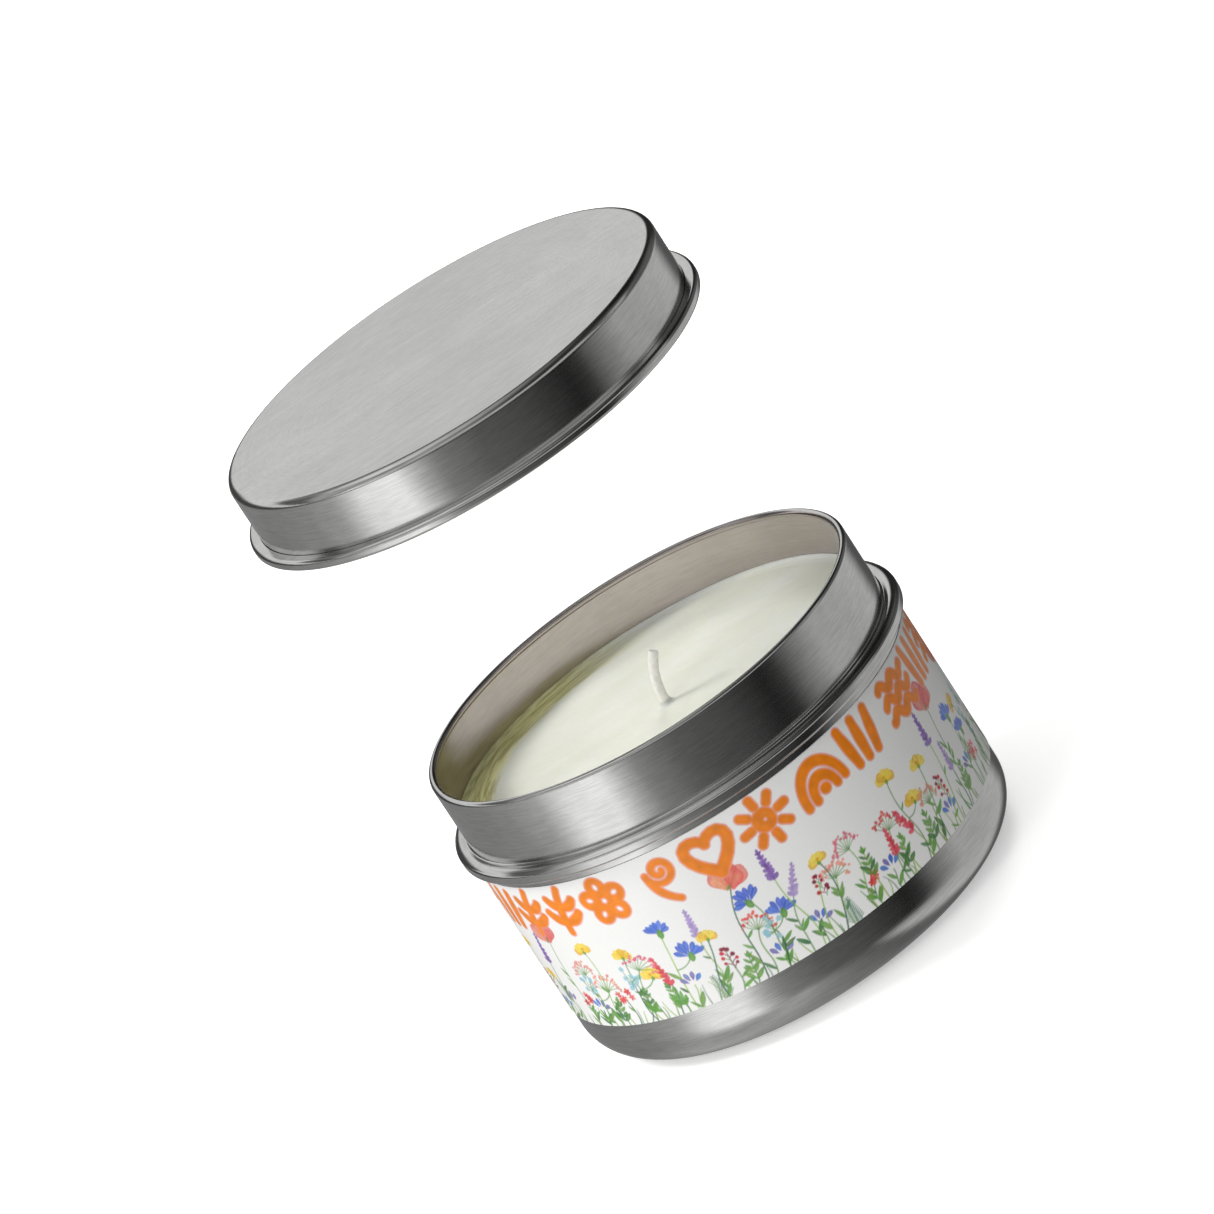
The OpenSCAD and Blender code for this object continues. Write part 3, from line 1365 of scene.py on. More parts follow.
class Meadow:
    """A row of watercolour wild flowers along the foot of the label."""

    SOIL = -0.3
    LEAF_CHANCE, LEAF_SIZE = 0.10, 3.2
    # Plants that may have a second head: how often, how far up their stem and how far it leans
    FORKED = (Flower.BUTTERCUP, Flower.CORNFLOWER, Flower.UMBEL)
    FORK_CHANCE, FORK_PLACE, FORK_LEAN = 0.6, 0.55, 12
    # Places tried for each plant, heads that it keeps clear of, and how far a second head may overlap
    TRIES, NEIGHBOURS, OVERLAP = 14, 40, 0.6
    FIVE_PETALS = range(0, 360, 72)
    # What grows in each row, and how far apart
    TALL = (
        Flower.POPPY, Flower.BUTTERCUP, Flower.CORNFLOWER,
        Flower.LAVENDER, Flower.BUTTERCUP, Flower.UMBEL,
    )
    LOW = (
        Flower.BELLS, Flower.STARS, Flower.MIST, Flower.SPIKE,
        Flower.BERRIES, Flower.UMBEL, Flower.LILAC,
    )
    GREEN = (Flower.TWIG, Flower.FERN, Flower.TWIG, Flower.BELLS)
    ROWS = ((TALL, 5.8), (LOW, 4.5), (GREEN, 6.4))

    def __init__(self, painter: Painter) -> None:
        """Start with a bare strip.

        Args:
            painter: What the flowers are painted with.
        """
        self.paint = painter
        self.draw = painter.draw
        self.taken: list[tuple[float, float, float]] = []

    def rand(self, low: float, high: float) -> float:
        """Draw a number between two others."""
        return float(self.draw.uniform(low, high))

    def pick(self, *colours: Rgb) -> Rgb:
        """Draw one of the colours, slightly changed."""
        base = np.asarray(colours[int(self.draw.integers(len(colours)))])
        return tuple(np.clip(base + self.draw.normal(0.0, 0.018, 3), 0.0, 1.0))

    def stem(self, foot: Point, top: Point, width: float = 0.23) -> np.ndarray:
        """Draw a stem and return its points.

        Args:
            foot: Where it starts.
            top: Where it ends.
            width: Its width at the foot.

        Returns:
            The points of the stem.
        """
        rise = top[1] - foot[1]
        path = bend(foot, top, self.rand(-0.10, 0.10) * rise, 18, self.rand(-0.045, 0.045) * rise)
        tone = self.pick(Ink.STEM, Ink.MOSS, Ink.STEM, Ink.LIME)
        self.paint.stroke(path, np.linspace(width, width * 0.75, len(path)), tone, 0.88)
        return path

    def leaves(self, path: np.ndarray, share: float, size: float) -> None:
        """Draw leaves along a stem.

        Args:
            path: The stem's points.
            share: Chance of a leaf at each point.
            size: Length of the largest leaves.
        """
        last = len(path) - 1
        for i in range(1, int(last * 0.72)):
            for side in (-1, 1):
                if self.draw.random() > share:
                    continue
                run = path[i + 1] - path[i - 1]
                heading = math.degrees(math.atan2(run[1], run[0])) + side * self.rand(24, 58)
                length = size * self.rand(0.55, 1.0) * (1.0 - 0.4 * i / last)
                tone = self.pick(Ink.LEAF, Ink.LEAF, Ink.MOSS, Ink.STEM)
                foot = (float(path[i][0]), float(path[i][1]))
                width = length * self.rand(0.20, 0.32)
                self.paint.petal(foot, heading, length, width, tone, Ink.LIME, 0.85, 0.9)

    def poppy(self, at: Point, lean: float) -> None:
        """Paint a cupped poppy at the end of a stem.

        Args:
            at: The end of its stem.
            lean: Its lean in degrees.
        """
        size = self.rand(4.6, 5.4)
        tint, wet = self.pick(Ink.CORAL, Ink.RED), self.pick(Ink.BLUSH, (0.97, 0.70, 0.52))
        lean += self.rand(-26, 26)
        c, s = math.cos(math.radians(lean)), math.sin(math.radians(lean))
        for side, rise, turn, length, width, tone in (
            (-0.2, 0.0, 33, 0.86, 0.66, tint),
            (0.2, 0.0, -33, 0.86, 0.66, self.pick(Ink.RED, Ink.CORAL)),
            (0.0, 0.1, 2, 0.96, 0.74, self.pick(tint)),
            (-0.5, -0.1, 16, 0.70, 0.60, wet),
            (0.5, -0.2, -14, 0.74, 0.62, self.pick(Ink.CORAL, tint)),
        ):
            foot = (at[0] + side * c - rise * s, at[1] + side * s + rise * c)
            heading = 90 + lean + turn + self.rand(-4, 4)
            self.paint.petal(foot, heading, size * length, size * width, tone, wet, 1.45, 0.72)
        for turn in (-24, -6, 10, 26):
            end = ahead(at, 90 + lean + turn, size * self.rand(0.45, 0.7))
            self.paint.stroke(bend(at, end, 0.1, 6), 0.15, self.pick(Ink.RED, Ink.WINE), 0.22)
        foot = (at[0] - 0.6 * c, at[1] - 0.6 * s)
        self.paint.petal(foot, 50 + lean, 1.3, 0.5, Ink.LEAF, Ink.LIME, 1.0, 0.7)

    def buttercup(self, at: Point, lean: float) -> None:
        """Paint a yellow cup.

        Args:
            at: The end of its stem.
            lean: Its lean in degrees.
        """
        size = self.rand(2.7, 3.3)
        for turn in (62, -62, 34, -34, 0):
            tone = self.pick(Ink.YELLOW, Ink.YELLOW, Ink.AMBER)
            heading, wet = 90 + lean + turn, (1.0, 0.93, 0.55)
            self.paint.petal(at, heading, size * 0.72, size * 0.5, tone, wet, 1.7, 0.88)
        self.paint.dot((at[0], at[1] + size * 0.28), 0.55, Ink.AMBER, 0.9)
        self.paint.petal((at[0], at[1] - 0.35), 90 + lean, 0.9, 0.6, Ink.LEAF, Ink.LIME, 1.0, 0.8)

    def cornflower(self, at: Point, lean: float) -> None:
        """Paint a blue fan on a green cup.

        Args:
            at: The end of its stem.
            lean: Its lean in degrees.
        """
        size = self.rand(2.5, 3.1)
        for turn in np.linspace(-66, 66, 7):
            tone = self.pick(Ink.BLUE, Ink.BLUE, (0.30, 0.44, 0.88))
            heading = 90 + lean + float(turn) + self.rand(-5, 5)
            length, wet = size * self.rand(0.82, 1.05), (0.45, 0.58, 0.93)
            self.paint.petal(at, heading, length, size * 0.30, tone, wet, 2.2, 0.9)
        self.paint.petal((at[0], at[1] - 1.0), 90 + lean, 1.9, 1.15, Ink.LEAF, Ink.LIME, 0.9, 0.92)

    def _spire(self, at: Point, lean: float, length: float, tones: tuple[Rgb, Rgb], size: float) -> None:
        """Paint a spike of small florets.

        Args:
            at: Its foot.
            lean: Its lean in degrees.
            length: Its length.
            tones: Its two colours.
            size: Size of its lowest florets.
        """
        count = max(5, round(length / (size * 0.50)))
        for i in range(count + 1):
            x, y = ahead(at, 90 + lean, length * i / count)
            share = 1.0 - 0.42 * i / count
            for side in (-1, 1, 0):
                turn = 90 + lean + side * self.rand(40, 64)
                spread = 0.14 * size * side
                foot = (x + spread, y + (0.1 * size if side == 0 else 0.0))
                tone = self.pick(*tones)
                full = size * share
                self.paint.petal(foot, turn, full * 0.9, full * 0.46, tone, tones[1], 1.4, 0.88)

    def lavender(self, at: Point, lean: float) -> None:
        """Paint a deep purple spike."""
        self._spire(at, lean, self.rand(4.6, 5.6), (Ink.PURPLE, (0.56, 0.42, 0.74)), 1.75)

    def lilac(self, at: Point, lean: float) -> None:
        """Paint a pale lilac spike."""
        self._spire(at, lean, self.rand(4.2, 5.2), (Ink.LILAC, (0.66, 0.56, 0.80)), 1.55)

    def spike(self, at: Point, lean: float) -> None:
        """Paint a red spike."""
        self._spire(at, lean, self.rand(4.0, 5.0), (Ink.RED, (0.90, 0.36, 0.42)), 1.60)

    def umbel(self, at: Point, lean: float) -> None:
        """Paint a fan of fine stalks with pink dots.

        Args:
            at: The end of its stem.
            lean: Its lean in degrees.
        """
        size = self.rand(2.4, 3.3)
        tone = self.pick(Ink.CORAL, Ink.BLUSH, (0.90, 0.45, 0.55))
        for turn in np.linspace(-72, 72, 9):
            end = ahead(at, 90 + lean + float(turn), size * self.rand(0.8, 1.05))
            self.paint.stroke(bend(at, end, 0.15, 6), 0.13, self.pick(Ink.STEM), 0.75)
            for _ in range(4):
                spot = (end[0] + self.rand(-0.45, 0.45), end[1] + self.rand(-0.55, 0.35))
                self.paint.dot(spot, self.rand(0.32, 0.50), self.pick(tone), 0.92)

    def mist(self, at: Point, lean: float) -> None:
        """Paint a cloud of small sky-blue flowers.

        Args:
            at: The end of its stem.
            lean: Its lean in degrees.
        """
        for _ in range(9):
            angle, far = self.rand(0, 2 * math.pi), 2.3 * math.sqrt(self.rand(0.02, 1.0))
            centre = (at[0] + far * math.cos(angle) * 0.8, at[1] + 1.0 + far * math.sin(angle))
            self.paint.stroke(bend(at, centre, 0.2, 6), 0.13, self.pick(Ink.STEM), 0.7)
            for turn in self.FIVE_PETALS:
                tone, wet = self.pick(Ink.SKY), (0.75, 0.90, 0.96)
                self.paint.petal(centre, turn + lean, 0.52, 0.42, tone, wet, 1.5, 0.9)
            self.paint.dot(centre, 0.22, Ink.YELLOW, 0.9)

    def stars(self, at: Point, lean: float) -> None:
        """Paint a bunch of small red stars.

        Args:
            at: The end of its stem.
            lean: Its lean in degrees.
        """
        for _ in range(7):
            angle, far = self.rand(0, 2 * math.pi), 1.7 * math.sqrt(self.rand(0.02, 1.0))
            centre = (at[0] + far * math.cos(angle), at[1] + 0.8 + far * math.sin(angle) * 0.8)
            for turn in self.FIVE_PETALS:
                tone = self.pick(Ink.RED, Ink.CORAL)
                self.paint.petal(centre, turn + 18 + lean, 0.72, 0.34, tone, None, 1.2, 0.92)

    def berries(self, at: Point, lean: float) -> None:
        """Paint a twig of dark berries.

        Args:
            at: The end of its stem.
            lean: Its lean in degrees; not used.
        """
        for i in range(8):
            side = -1 if i % 2 else 1
            foot = (at[0], at[1] - 2.6 + 0.45 * i)
            end = (foot[0] + side * self.rand(0.7, 1.4) * (1 - i / 12), foot[1] + self.rand(0.5, 0.9))
            self.paint.stroke(bend(foot, end, 0.1 * side, 6), 0.14, self.pick(Ink.STEM, Ink.WINE), 0.85)
            self.paint.dot(end, self.rand(0.55, 0.75), self.pick(Ink.WINE, Ink.RED), 0.92)
        self.paint.dot((at[0], at[1] + 1.1), 0.65, self.pick(Ink.WINE), 0.92)

    def bells(self, at: Point, lean: float) -> None:
        """Paint a low sprig of blue bells.

        Args:
            at: The end of its stem.
            lean: Its lean in degrees.
        """
        for turn in (-48, -16, 18, 50):
            foot = ahead(at, 90 + lean + turn, 0.9)
            tone = self.pick(Ink.BLUE, Ink.PURPLE)
            self.paint.petal(foot, 90 + lean + turn, 1.7, 0.8, tone, Ink.SKY, 1.3, 0.9)

    def twig(self, at: Point, lean: float) -> None:
        """Paint a leafy twig from its tip down.

        Args:
            at: The end of its stem.
            lean: Its lean in degrees.
        """
        for i in range(5):
            back, size = 0.95 * i, 1.1 + 0.30 * i
            tone = self.pick(Ink.LEAF, Ink.STEM, Ink.LEAF, Ink.MOSS)
            for side in (-1, 1):
                foot = ahead(at, 90 + lean, -(back + self.rand(-0.2, 0.2)))
                turn = 90 + lean + side * self.rand(30, 50)
                length = size * self.rand(0.8, 1.1)
                self.paint.petal(foot, turn, length, size * 0.34, tone, Ink.LIME, 0.95, 0.88)
        self.paint.petal(at, 90 + lean, 1.4, 0.6, Ink.LEAF, Ink.LIME, 0.95, 0.9)

    def fern(self, at: Point, lean: float) -> None:
        """Paint a fine fern frond from its tip down.

        Args:
            at: The end of its stem.
            lean: Its lean in degrees.
        """
        tone = self.pick(Ink.FERN, Ink.STEM)
        for i in range(12):
            foot = ahead(at, 90 + lean, -0.42 * i)
            for side in (-1, 1):
                end = ahead(foot, 90 + lean + 48 * side, 0.45 + 0.13 * i)
                self.paint.stroke(bend(foot, end, -0.08 * side, 5), 0.17, tone, 0.75)

    def grass(self, foot: float) -> None:
        """Paint a few blades and low leaves.

        Args:
            foot: Where they stand along the label.
        """
        for _ in range(int(self.draw.integers(1, 3))):
            x = foot + self.rand(-1.2, 1.2)
            height = self.rand(1.2, 4.2)
            top = (x + self.rand(-0.4, 0.4) * height, height)
            path = bend((x, self.SOIL), top, self.rand(-0.12, 0.12) * height, 10)
            tone = self.pick(Ink.STEM, Ink.LEAF, Ink.FERN, Ink.LIME)
            self.paint.stroke(path, np.linspace(0.26, 0.12, 10), tone, 0.8)

    def plant(self, kind: Flower, foot: float, reach: float, lean: float) -> None:
        """Paint one plant.

        Args:
            kind: What it is.
            foot: Where it stands along the label.
            reach: Height of its head.
            lean: How far it leans in degrees.
        """
        top = (foot + reach * math.tan(math.radians(lean)), reach)
        path = self.stem((foot, self.SOIL), top)
        if kind not in (Flower.TWIG, Flower.FERN):
            self.leaves(path, self.LEAF_CHANCE, self.LEAF_SIZE)
        run = path[-1] - path[-3]
        heading = math.degrees(math.atan2(run[1], run[0])) - 90
        paint_head = getattr(self, kind.name.lower())
        paint_head(top, heading)
        if kind in self.FORKED and self.draw.random() < self.FORK_CHANCE:
            x, y = path[int(len(path) * self.FORK_PLACE)].tolist()
            rise, size = kind.room
            for side in (1, -1):
                tip = (x + side * self.rand(2.4, 3.6), y + self.rand(1.0, 3.0))
                head = (tip[0], tip[1] + rise)
                if self._clear(head, size) < -self.OVERLAP:
                    continue
                self.paint.stroke(bend((x, y), tip, -0.5 * side, 10), 0.18, self.pick(Ink.STEM), 0.85)
                paint_head(tip, -self.FORK_LEAN * side)
                self.taken.append((*head, size))
                break

    def _clear(self, head: Point, size: float) -> float:
        """Measure the gap between a head and the nearest of those painted last.

        Args:
            head: Its middle.
            size: Its radius.

        Returns:
            The gap, which is negative where they overlap.
        """
        near = self.taken[-self.NEIGHBOURS :]
        return min((math.dist(head, (a, b)) - c - size for a, b, c in near), default=0.0)

    def _site(self, kind: Flower, foot: float) -> tuple[float, float, float]:
        """Choose where a plant stands so that its head keeps clear of the others.

        Args:
            kind: What it is.
            foot: Where it should stand, about.

        Returns:
            Its foot, the height of its head and its lean.
        """
        rise, size = kind.room
        best, widest = (foot, kind.reach[0], 0.0), -math.inf
        for _ in range(self.TRIES):
            x, reach, lean = foot + self.rand(-1.2, 1.2), self.rand(*kind.reach), self.rand(-13, 13)
            clear = self._clear((x + reach * math.tan(math.radians(lean)), reach + rise), size)
            if clear > widest:
                best, widest = (x, reach, lean), clear
        x, reach, lean = best
        self.taken.append((x + reach * math.tan(math.radians(lean)), reach + rise, size))
        return best

    def sow(self, width: float) -> None:
        """Paint the whole meadow.

        Args:
            width: Length of the label.
        """
        foot = 0.0
        while foot < width:
            self.grass(foot)
            foot += self.rand(2.0, 3.6)
        sites: list[tuple[float, Flower]] = []
        for kinds, pitch in self.ROWS:
            order: list[Flower] = []
            foot = self.rand(0.5, 1.5)
            while foot < width:
                if not order:
                    order = [kinds[i] for i in self.draw.permutation(len(kinds))]
                sites.append((foot, order.pop()))
                foot += pitch * self.rand(0.8, 1.2)
        for foot, kind in sorted(sites, key=lambda site: site[0]):
            self.plant(kind, *self._site(kind, foot))


class Flourish(Enum):
    """The shapes of the brushed band along the top of the label, with their relative widths."""

    SPRIG = ("sprig", 0.86)
    HEART = ("heart", 1.00)
    SUN = ("sun", 1.08)
    RIPPLE = ("ripple", 1.16)
    BLOOM = ("bloom", 1.00)
    DASHES = ("dashes", 0.92)
    COIL = ("coil", 0.78)
    ARCHES = ("arches", 1.14)


class BrushedBand:
    """A row of bold orange brush shapes with a soft pink edge."""

    # Clean film at the two ends, the gap between shapes, and the wider gap after each group
    START, STOP = 7.5, 10.0
    GAP, GROUP, GROUP_GAP = 0.7, 5, 2.5
    TILT, STROKE, EDGE = 7, 1.62, 0.55
    SHINE: Rgb = (0.99, 0.60, 0.12)

    def __init__(self, painter: Painter, middle: float, size: float) -> None:
        """Keep the painter and the band's place.

        Args:
            painter: What the shapes are painted with.
            middle: Height of the band's middle.
            size: Height of its shapes.
        """
        self.paint = painter
        self.draw = painter.draw
        self.middle = middle
        self.size = size

    def _strokes(self, kind: Flourish) -> list[tuple[np.ndarray, float]]:
        """List the strokes of a shape in a box from -0.5 to 0.5.

        Args:
            kind: The shape.

        Returns:
            Pairs of points and relative width.
        """
        t = np.linspace(0.0, 1.0, 28)
        ring = 2 * math.pi * t
        if kind is Flourish.SPRIG:
            lines = [(bend((-0.10, -0.48), (0.10, 0.46), 0.06), 0.8)]
            for y, size in ((-0.26, 0.36), (0.06, 0.30)):
                x = 0.2 * y + 0.01
                lines.append((bend((x, y), (x - size, y + 0.62 * size), 0.05), 0.92))
                lines.append((bend((x, y), (x + size, y + 0.50 * size), -0.05), 0.92))
            return lines
        if kind is Flourish.HEART:
            x = 0.42 * np.sin(ring) ** 3
            y = 0.36 * np.cos(ring) - 0.14 * np.cos(2 * ring) - 0.06 * np.cos(3 * ring) + 0.04
            return [(np.column_stack([x, y]), 1.05)]
        if kind is Flourish.SUN:
            lines = [(np.column_stack([0.13 * np.cos(ring), 0.13 * np.sin(ring)]), 1.0)]
            for turn in np.arange(8) * math.pi / 4 + 0.2:
                c, s = math.cos(turn), math.sin(turn)
                lines.append((np.array([(0.31 * c, 0.31 * s), (0.46 * c, 0.46 * s)]), 0.95))
            return lines
        if kind is Flourish.RIPPLE:
            lines = []
            for y in (-0.28, 0.0, 0.28):
                x = np.linspace(-0.5, 0.5, 28)
                lines.append((np.column_stack([x, y + 0.07 * np.sin(x * 14 + y * 3)]), 0.95))
            return lines
        if kind is Flourish.BLOOM:
            lines = []
            for turn in np.arange(5) * 2 * math.pi / 5 + math.pi / 2:
                c, s = math.cos(turn), math.sin(turn)
                petal = np.column_stack([0.29 + 0.15 * np.cos(ring), 0.13 * np.sin(ring)])
                lines.append((petal @ np.array([(c, s), (-s, c)]), 0.75))
            return lines
        if kind is Flourish.DASHES:
            lines = []
            for x, tilt in ((-0.32, 0.12), (0.0, 0.0), (0.32, -0.12)):
                body = np.column_stack([x + tilt * (t - 0.5), 0.40 - 0.74 * t])
                lines.append((body, 1.0))
            return lines
        if kind is Flourish.COIL:
            turn = np.linspace(0.6 * math.pi, 3.5 * math.pi, 50)
            r = 0.285 * turn / turn[-1]
            coil = np.column_stack([r * np.sin(turn) + 0.02, 0.16 + r * np.cos(turn)])
            stem = bend((float(coil[-1][0]), float(coil[-1][1])), (0.10, -0.48), -0.10)
            return [(coil, 0.62), (stem, 0.70)]
        lines = []
        for size, y in ((0.46, -0.30), (0.25, -0.30)):
            half = np.linspace(0.0, math.pi, 20)
            lines.append((np.column_stack([size * np.cos(half), y + size * 1.35 * np.sin(half)]), 0.95))
        lines.append((np.array([(0.0, -0.22), (0.01, -0.22)]), 1.2))
        return lines

    def shape(self, kind: Flourish, at: float, tilt: float, width: float) -> None:
        """Paint one shape.

        Args:
            kind: The shape.
            at: Its place along the label.
            tilt: Its tilt in degrees.
            width: Width of its strokes.
        """
        c, s = math.cos(math.radians(tilt)), math.sin(math.radians(tilt))
        turn = np.array([(c, s), (-s, c)])
        placed = []
        for path, weight in self._strokes(kind):
            points = path * self.size @ turn + (at, self.middle)
            taper = 1.0 - 0.12 * np.cos(np.linspace(0, 2 * math.pi, len(points)))
            placed.append((points, width * weight * taper))
        for points, thick in placed:
            self.paint.stroke(points, thick + self.EDGE, Ink.GLOW, 0.85, 0.06)
        for points, thick in placed:
            self.paint.stroke(points, thick, Ink.ORANGE, 0.98, 0.07)
        for points, thick in placed:
            self.paint.stroke(points + (-0.12, 0.14), thick * 0.3, self.SHINE, 0.35, 0.2)

    def brush(self, length: float) -> None:
        """Paint the band round the label.

        Args:
            length: Length of the label.
        """
        kinds = list(Flourish)
        order: list[Flourish] = []
        at, run = self.START, 0
        while at < length - self.STOP:
            if not order:
                order = [kinds[i] for i in self.draw.permutation(len(kinds))]
            kind = order.pop()
            room = kind.value[1] * self.size + self.GAP
            tilt = float(self.draw.uniform(-self.TILT, self.TILT))
            self.shape(kind, at + room / 2, tilt, self.STROKE)
            run += 1
            at += room if run % self.GROUP else room + self.GROUP_GAP


@dataclass
class WrapLabel:
    """The printed film: one closed strip wound round the tin, its end lapped over its start."""

    tin: TinBody
    low_gap: float = 3.5
    top_gap: float = 1.2
    thickness: float = 0.12
    lap: float = 6.0
    film: float = 0.05
    ramp: float = 2.5
    step: float = 0.16
    band_drop: float = 5.0
    band_size: float = 9.1
    seed: int = 23
    ink: Painter = field(init=False)

    def __post_init__(self) -> None:
        """Lay out the clean film."""
        self.ink = Painter(self.length, self.height, self.step, self.seed)

    @property
    def low(self) -> float:
        """Height of the label's lower edge."""
        return self.tin.corner_r + self.low_gap

    @property
    def height(self) -> float:
        """Height of the label."""
        return self.tin.band_bottom - self.tin.fold_r - self.tin.under_fold_r - self.top_gap - self.low

    @property
    def length(self) -> float:
        """Length of the strip, its lap included."""
        return 2 * math.pi * self.tin.radius + self.lap

    def _surface(self, columns: int, levels: np.ndarray, off: float) -> np.ndarray:
        """Place a grid of the strip's points.

        Args:
            columns: Number of points along the strip.
            levels: Heights of its rows.
            off: Distance of this face from the strip's inner face.

        Returns:
            The points, row by row.
        """
        run = np.linspace(0.0, self.length, columns)
        angle = math.pi / 2 + (run - self.lap / 2) / self.tin.radius
        start = self.length - self.lap - self.ramp
        rise = np.clip((run - start) / self.ramp, 0.0, 1.0)
        rise = rise * rise * (3 - 2 * rise) * (self.thickness + 0.005)
        radius = self.tin.radius + self.film / 2 + off + rise
        flat = np.column_stack([radius * np.cos(angle), radius * np.sin(angle)])
        points = np.empty((len(levels), columns, 3))
        points[:, :, :2] = flat[None]
        points[:, :, 2] = levels[:, None]
        return points.reshape(-1, 3)

    def _paint(self) -> np.ndarray:
        """Print the meadow and the band.

        Returns:
            One colour per grid point, row by row.
        """
        Meadow(self.ink).sow(self.length)
        BrushedBand(self.ink, self.height - self.band_drop, self.band_size).brush(self.length)
        return np.clip(self.ink.ink, 0.0, 1.0).reshape(-1, 3)

    def build(self) -> None:
        """Make the strip, print it and dress it."""
        columns, rows = self.ink.columns, self.ink.rows
        levels = self.low + self.ink.v
        outer = self._surface(columns, levels, self.thickness)
        inner = self._surface(columns, levels[[0, -1]], 0.0)
        points = np.vstack([outer, inner])
        grid = np.arange(rows * columns).reshape(rows, columns)
        back = rows * columns + np.arange(2 * columns).reshape(2, columns)

        def quads(low: np.ndarray, high: np.ndarray) -> list[tuple[int, ...]]:
            """Join two rows of points with quads."""
            return list(zip(low[:-1].tolist(), low[1:].tolist(), high[1:].tolist(), high[:-1].tolist()))

        faces: list[tuple[int, ...]] = []
        for i in range(rows - 1):
            faces += quads(grid[i], grid[i + 1])
        faces += quads(grid[-1], back[1]) + quads(back[1], back[0]) + quads(back[0], grid[0])
        faces.append((*grid[::-1, 0].tolist(), int(back[0, 0]), int(back[1, 0]))[::-1])
        faces.append((*grid[:, -1].tolist(), int(back[1, -1]), int(back[0, -1]))[::-1])
        label = MeshWorks.build("wrap_film", points, faces, 40.0)
        colours = self._paint()
        rgba = np.ones((len(points), 4), np.float32)
        rgba[: len(colours), :3] = to_linear(colours)
        layer = label.data.color_attributes.new("print", "FLOAT_COLOR", "POINT")
        layer.data.foreach_set("color", rgba.ravel())
        dress(label, PrintedFilm().make(), Body.TIN, "wrap_label")


# ---------------------------------------------------------------- studio


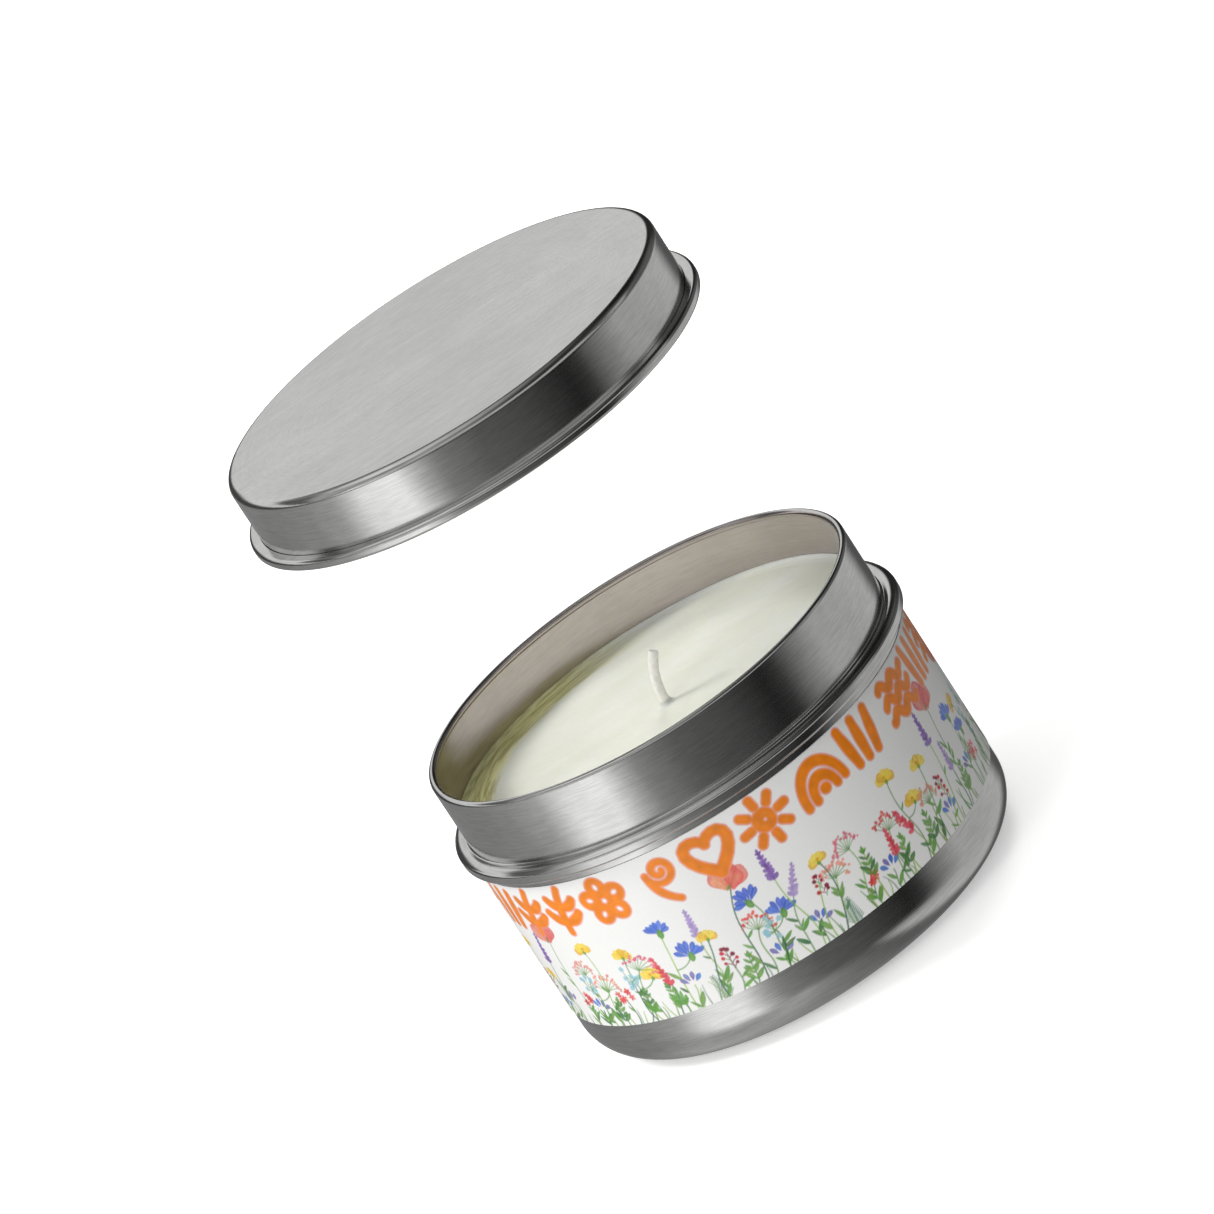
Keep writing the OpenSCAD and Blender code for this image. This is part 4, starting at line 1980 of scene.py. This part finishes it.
@dataclass
class Studio:
    """Pale floor, three soft lamps, panels that only reflections show, and the camera."""

    eye: tuple[float, float, float] = (0.0004, -1.5102, 0.5790)
    forward: tuple[float, float, float] = (0.0, 0.94657, -0.32249)
    up: tuple[float, float, float] = (0.54737, 0.26989, 0.79218)
    lens: float = 295.4
    key_heading: tuple[float, float, float] = (-0.652, 0.199, 0.731)
    key_power: float = 11.4
    fill_heading: tuple[float, float, float] = (-0.557, -0.663, 0.50)
    fill_power: float = 3.6
    back_heading: tuple[float, float, float] = (0.35, 0.70, 0.62)
    back_power: float = 6.0
    lamp_size: float = 0.5
    # Brightness of the surroundings: ring, high_ring, low_ring and stripes show in reflections, by
    # heading, by how far aside a steep ray goes (up, then down) and by climb; soft_ring lights the rest
    ring: tuple[tuple[float, float], ...] = (
        (-180, 0.30), (-160, 0.25), (-130, 0.28), (-104, 0.34), (-84, 0.50), (-68, 1.15),
        (-48, 1.30), (-38, 0.66), (-28, 0.30), (-6, 0.14), (20, 0.08), (44, 0.015), (54, 0.04),
        (66, 0.24), (84, 0.50), (112, 0.52), (138, 0.55), (152, 0.10), (166, 0.08), (180, 0.30),
    )
    soft_ring: tuple[tuple[float, float], ...] = (
        (-180, 0.80), (-120, 0.80), (-60, 0.88), (-20, 1.12), (10, 0.85), (35, 0.20), (60, 0.02),
        (100, 0.05), (150, 0.45), (180, 0.85),
    )
    high_ring: tuple[tuple[float, float], ...] = (
        (-1.0, 0.45), (-0.6, 1.00), (-0.3, 0.75), (0.0, 0.45), (0.25, 0.16), (0.5, 0.03),
        (0.8, 0.03), (1.0, 0.08),
    )
    low_ring: tuple[tuple[float, float], ...] = (
        (-1.0, 0.42), (-0.52, 0.46), (-0.37, 0.52), (-0.25, 0.42), (0.0, 0.24), (0.25, 0.14),
        (0.37, 0.16), (0.45, 0.44), (0.52, 0.60), (1.0, 0.55),
    )
    stripes: tuple[tuple[float, float], ...] = (
        (0, 0.25), (7, 0.25), (12, 1.40), (30, 1.40), (38, 0.35), (60, 0.45), (75, 1.00),
        (108, 1.00), (118, 0.30), (138, 0.22), (180, 0.22),
    )
    back_line: tuple[float, float] = (143.0, 160.0)
    line_level: float = 0.85
    behind_level: float = 0.80
    before_level: float = 0.55
    sky: float = 0.75
    floor_half: float = 6.0
    lamp_reach: float = 1.6
    lamp_aim: float = 0.05
    lamp_tint: Rgb = (1.0, 0.99, 0.965)

    def _floor(self) -> None:
        """Lay the floor."""
        mesh = bpy.data.meshes.new("studio_floor")
        size = self.floor_half
        corners = [(-size, -size, 0.0), (size, -size, 0.0), (size, size, 0.0), (-size, size, 0.0)]
        mesh.from_pydata(corners, [], [(0, 1, 2, 3)])
        floor = bpy.data.objects.new("studio_floor", mesh)
        bpy.context.scene.collection.objects.link(floor)
        mesh.materials.append(StudioPaper().make())
        floor.visible_glossy = False
        floor.visible_diffuse = False

    def _lamp(self, name: str, heading: tuple[float, float, float], power: float) -> None:
        """Hang one soft round lamp, which reflections don't show.

        Args:
            name: Its name.
            heading: Where it hangs, seen from the tin.
            power: Its power in watts.
        """
        lamp = bpy.data.lights.new(name, "AREA")
        lamp.shape, lamp.size, lamp.energy = "DISK", self.lamp_size, power
        lamp.color = self.lamp_tint
        hung = bpy.data.objects.new(name, lamp)
        aim = Vector(heading).normalized()
        hung.location = Vector((0.0, 0.0, self.lamp_aim)) + aim * self.lamp_reach
        hung.rotation_mode = "QUATERNION"
        hung.rotation_quaternion = aim.to_track_quat("Z", "Y")
        hung.visible_glossy = False
        bpy.context.scene.collection.objects.link(hung)

    @staticmethod
    def _ramp(bench: Bench, place: Signal, ring: Sequence[tuple[float, float]], half: float) -> Signal:
        """Spread brightness along a signal.

        Args:
            bench: The world's tree.
            place: The signal, from -half to half.
            ring: Pairs of place and brightness.
            half: Largest place.

        Returns:
            The brightness as a colour.
        """
        stops = [((a + half) / (2 * half), grey(v)) for a, v in ring]
        share = place / (2 * half) + 0.5
        return bench.out(bench.add("ShaderNodeValToRGB", {"stops": stops}, {0: share}))

    def _surroundings(self) -> None:
        """Set an even soft sky, and a ring of panels that only reflections show."""
        world = bpy.data.worlds.new("studio_surroundings")
        bpy.context.scene.world = world
        bench = Bench(world)
        x, y, z = bench.parts(bench.coordinate("Generated"))
        heading = bench.maths("ARCTAN2", x, y * -1.0) * (180 / math.pi)
        aside = x / (bench.maths("ABSOLUTE", z) + 0.05)
        panels = self._ramp(bench, heading, self.ring, 180.0)
        climb = bench.maths("ARCTAN2", z, y * -1.0) * (180 / math.pi)
        above = z.between(-0.18, -0.08)
        panels = bench.blend(z.between(0.30, 0.60), panels, self._ramp(bench, aside, self.high_ring, 1.0))
        panels = bench.blend(above, panels, self._ramp(bench, climb, self.stripes, 180.0), "MULTIPLY")
        low, high = self.back_line
        line = above * climb.between(low - 3.0, low) * climb.between(high + 3.0, high)
        line = line * x.between(0.22, 0.02)
        panels = bench.blend(line, panels, grey(self.line_level))
        panels = bench.blend(z.between(-0.55, -0.80), panels, self._ramp(bench, aside, self.low_ring, 1.0))
        aisle = bench.maths("ABSOLUTE", x).between(0.26, 0.12)
        behind = y.between(0.60, 0.90) * z.between(0.18, 0.25) * z.between(0.48, 0.40) * aisle
        panels = bench.blend(behind, panels, grey(self.behind_level))
        before = y.between(-0.20, -0.50) * z.between(0.10, 0.20) * z.between(0.60, 0.45)
        panels = bench.blend(before, panels, grey(self.before_level))
        overhead = z.between(0.25, 0.85)
        soft = self._ramp(bench, heading, self.soft_ring, 180.0)
        soft = bench.blend(overhead, soft, grey(self.sky))
        rays = bench.add("ShaderNodeLightPath")
        shade = bench.blend(bench.out(rays, "Is Glossy Ray"), soft, panels)
        shade = bench.blend(bench.out(rays, "Is Camera Ray"), shade, grey(1.0))
        glow = bench.add("ShaderNodeBackground", None, {"Color": shade, "Strength": 1.0})
        bench.add("ShaderNodeOutputWorld", None, {"Surface": bench.out(glow)})

    def _camera(self) -> None:
        """Set the camera."""
        data = bpy.data.cameras.new("view")
        data.sensor_width, data.lens, data.clip_start, data.clip_end = 36.0, self.lens, 0.05, 50.0
        camera = bpy.data.objects.new("view", data)
        back, up = -Vector(self.forward).normalized(), Vector(self.up).normalized()
        right = up.cross(back)
        turn = Matrix((right, up, back)).transposed()
        camera.matrix_world = Matrix.Translation(self.eye) @ turn.to_4x4()
        bpy.context.scene.collection.objects.link(camera)
        bpy.context.scene.camera = camera

    def build(self) -> None:
        """Set up the floor, the lights and the camera."""
        self._floor()
        self._lamp("key_lamp", self.key_heading, self.key_power)
        self._lamp("fill_lamp", self.fill_heading, self.fill_power)
        self._lamp("back_lamp", self.back_heading, self.back_power)
        self._surroundings()
        self._camera()
        view = bpy.context.scene.view_settings
        view.view_transform, view.look, view.exposure, view.gamma = "Standard", "None", 0.0, 1.0
        log.info("studio: floor, lamps, surroundings and camera")


def main() -> None:
    """Build the tin, the lid, the candle, the label and the studio in order."""
    logging.basicConfig(level=logging.INFO, format="%(name)s %(message)s")
    tin = TinBody()
    tin.build(BrushedSteel("brushed_can_steel").make())
    SlipLid(tin).build(BrushedSteel("brushed_lid_steel").make())
    Candle(tin).build()
    WrapLabel(tin).build()
    Studio().build()


if __name__ == "__main__":
    main()
